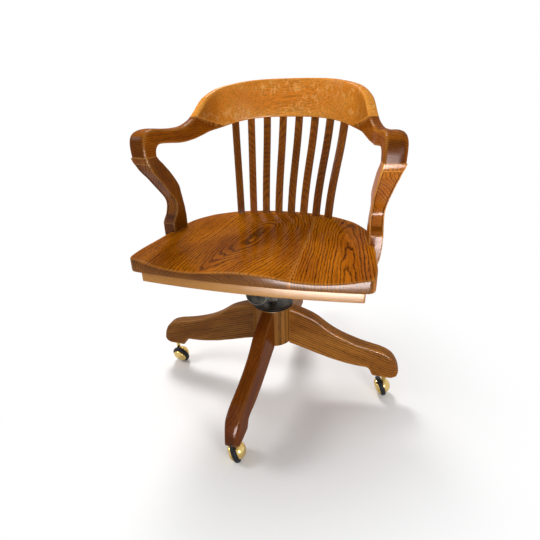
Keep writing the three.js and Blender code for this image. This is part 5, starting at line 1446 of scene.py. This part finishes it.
# Tilt iron
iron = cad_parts["seat_iron"]
iron.data.materials.clear()
iron.data.materials.append(cast_iron)
screw = screw_shape(IRON_SCREW_RADIUS, IRON_SCREW_HEAD_RADIUS, IRON_SCREW_HEAD,
                    IRON_SCREW_HEAD + TOUCH + IRON_THICKNESS + IRON_SCREW_DEEP)
screw_z = SEAT_BOTTOM - 2 * TOUCH - IRON_THICKNESS - IRON_SCREW_HEAD
screw_rows = IRON_FRONT + IRON_ARM_WIDTH / 2, IRON_REAR - IRON_ARM_WIDTH / 2
screw_places = [(side * (IRON_HALF_WIDTH - IRON_ARM_WIDTH / 2), y) for y in screw_rows for side in (-1, 1)]
for n, (x, y) in enumerate(screw_places):
    finish_piece(f"seat_iron_screw_{n + 1}", [moved(spun(screw, IRON_SCREW_TURN * n), x, y, screw_z)],
                 zinc_steel, "upper", f"iron_screw_{n + 1}")
finish_piece("tilt_casting", [housing_shape()], cast_iron, "column", "tilt_housing")
finish_piece("tilt_pin", [pin_shape()], zinc_steel, "column", "pivot_pin")
stud = threaded(STUD_RADIUS, STUD_THREAD, STUD_PITCH, STUD_END, -(SPINDLE_RADIUS + 2 * TOUCH))
finish_piece("tension_bolt", [on_stud(stud)], turned_iron, "column", "tension_stud")
# the spring in two halves: the front half is baked in place and rides no body, the rear half rides the column
# on a mesh of its own
coil_gap = TOUCH / (2 * math.pi * SPRING_RADIUS)
front_coils = finish_piece("tilt_spring_front", [spring_shape(0, SPRING_MIDDLE_TURN - coil_gap)], turned_iron,
                           None, "tension_spring")
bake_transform(front_coils)
rear_coils = finish_piece("tilt_spring_rear", [spring_shape(SPRING_MIDDLE_TURN, SPRING_TURNS)], turned_iron,
                          "column", "tension_spring")
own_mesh(rear_coils)
spring_washer = washer(STUD_RADIUS + TOUCH, TENSION_WASHER_RADIUS, 0, TENSION_WASHER_THICKNESS)
finish_piece("spring_washer", [on_stud(spring_washer, KNOB_FRONT + KNOB_HUB_LENGTH + TOUCH)], zinc_steel,
             "tension_plate", "tension_washer")
handwheel = finish_piece("tension_handwheel", [knob_shape()], turned_iron, "tension_knob",
                         "tension_knob")
# hands have rubbed the bevel round its face bright
handwheel.data.materials.append(zinc_steel)
for face in handwheel.data.polygons:
    beyond = math.hypot(face.center.x, face.center.z - STUD_Z * MM) - (KNOB_RADIUS - KNOB_WALL) * MM
    face.material_index = int(beyond > 0 and face.center.y < (KNOB_FRONT + KNOB_WALL) * MM)

# Height and swivel
spindle = threaded(SPINDLE_RADIUS, SPINDLE_THREAD, SPINDLE_PITCH, SPINDLE_BOTTOM, SPINDLE_TOP)
finish_piece("screw_spindle", [spindle], zinc_steel, "column", "spindle")
bore = SPINDLE_RADIUS + TOUCH
nut_low = WASHER_TOP + TOUCH
nut_rim = WASHER_TOP + TOUCH + NUT_EDGE
nut_dome = [(NUT_RADIUS * out, nut_rim + NUT_DOME * up) for out, up in NUT_DOME_SHARES]
nut = turned([(bore, nut_low), (NUT_RADIUS - NUT_EDGE / 2, nut_low), (NUT_RADIUS, nut_low + NUT_EDGE / 2),
              (NUT_RADIUS, nut_rim), *nut_dome, (NUT_HUB_RADIUS, nut_rim + NUT_DOME),
              (bore, nut_rim + NUT_DOME), (bore, nut_low)], CAST_EASE)
finish_piece("height_disc", [nut], turned_iron, "height_nut", "height_nut")
thrust = washer(bore + TOUCH, THRUST_WASHER_RADIUS, HUB_TOP + TOUCH, WASHER_TOP, SOFT_EASE)
finish_piece("thrust_ring", [thrust], fibre_washer, "swivel_ring", "thrust_washer")

# Base
flange = HUB_BOTTOM - TOUCH
bush = flanged_tube(bore, BUSH_FLANGE_RADIUS, BUSH_RADIUS, (flange - BUSH_FLANGE_THICKNESS, flange, HUB_TOP))
finish_piece("hub_bush", [bush], cast_iron, "base", "spindle_bush")
hub = washer(BUSH_RADIUS + TOUCH, HUB_RADIUS, HUB_BOTTOM, HUB_TOP, HUB_ROUND)
finish_piece("turned_hub", [hub], oak_base, "base", "hub",
             boards=[board(Z, X, HUB_PITH, HUB_TONE)])

leg = leg_shape()
socket, hood, wheel, tyre = socket_shape(), hood_shape(), wheel_shape(), tyre_shape()
axle = on_axle(rod(AXLE_RADIUS, AXLE_BACK, AXLE_FRONT, PIN_EASE, AXLE_SIDES))
for k, name in enumerate(LEG_NAMES):
    yaw = BASE_YAW - 90 + 90 * k
    run = (math.cos(math.radians(yaw)), math.sin(math.radians(yaw)), LEG_GRAIN_FALL)
    side = (-run[1], run[0], 0)
    pith = (LEG_PITH_ASIDE * side[0], LEG_PITH_ASIDE * side[1], 0)
    finish_piece(f"{name}_leg", [spun(leg, yaw)], oak_base if k else oak_front_leg_shaded, "base",
                 f"leg_{name}", boards=[board(run, side, pith, LEG_LIGHT_AND_SHADE_TONES[k])])
    pieces = (
        ("socket", socket, zinc_steel, "base", "steel"),
        ("hood", hood, polished_brass, f"caster_{name}", "brass"),
        ("axle", axle, zinc_steel, f"caster_{name}", "steel"),
        ("wheel", wheel, polished_brass, f"wheel_{name}", "brass"),
        ("tyre", tyre, tyre_rubber, f"wheel_{name}", "tyre"),
    )
    for word, shape, material, body, slot in pieces:
        handed = spun(shape if HANDS[k] > 0 else flipped(shape, 1), HEADINGS[k])
        standing = moved(handed, STEM_CIRCLE_RADIUS * run[0], STEM_CIRCLE_RADIUS * run[1])
        finish_piece(f"{name}_caster_{word}", [standing], material, body, f"caster_{word}_{name}")

bpy.context.scene.view_settings.view_transform = "Standard"
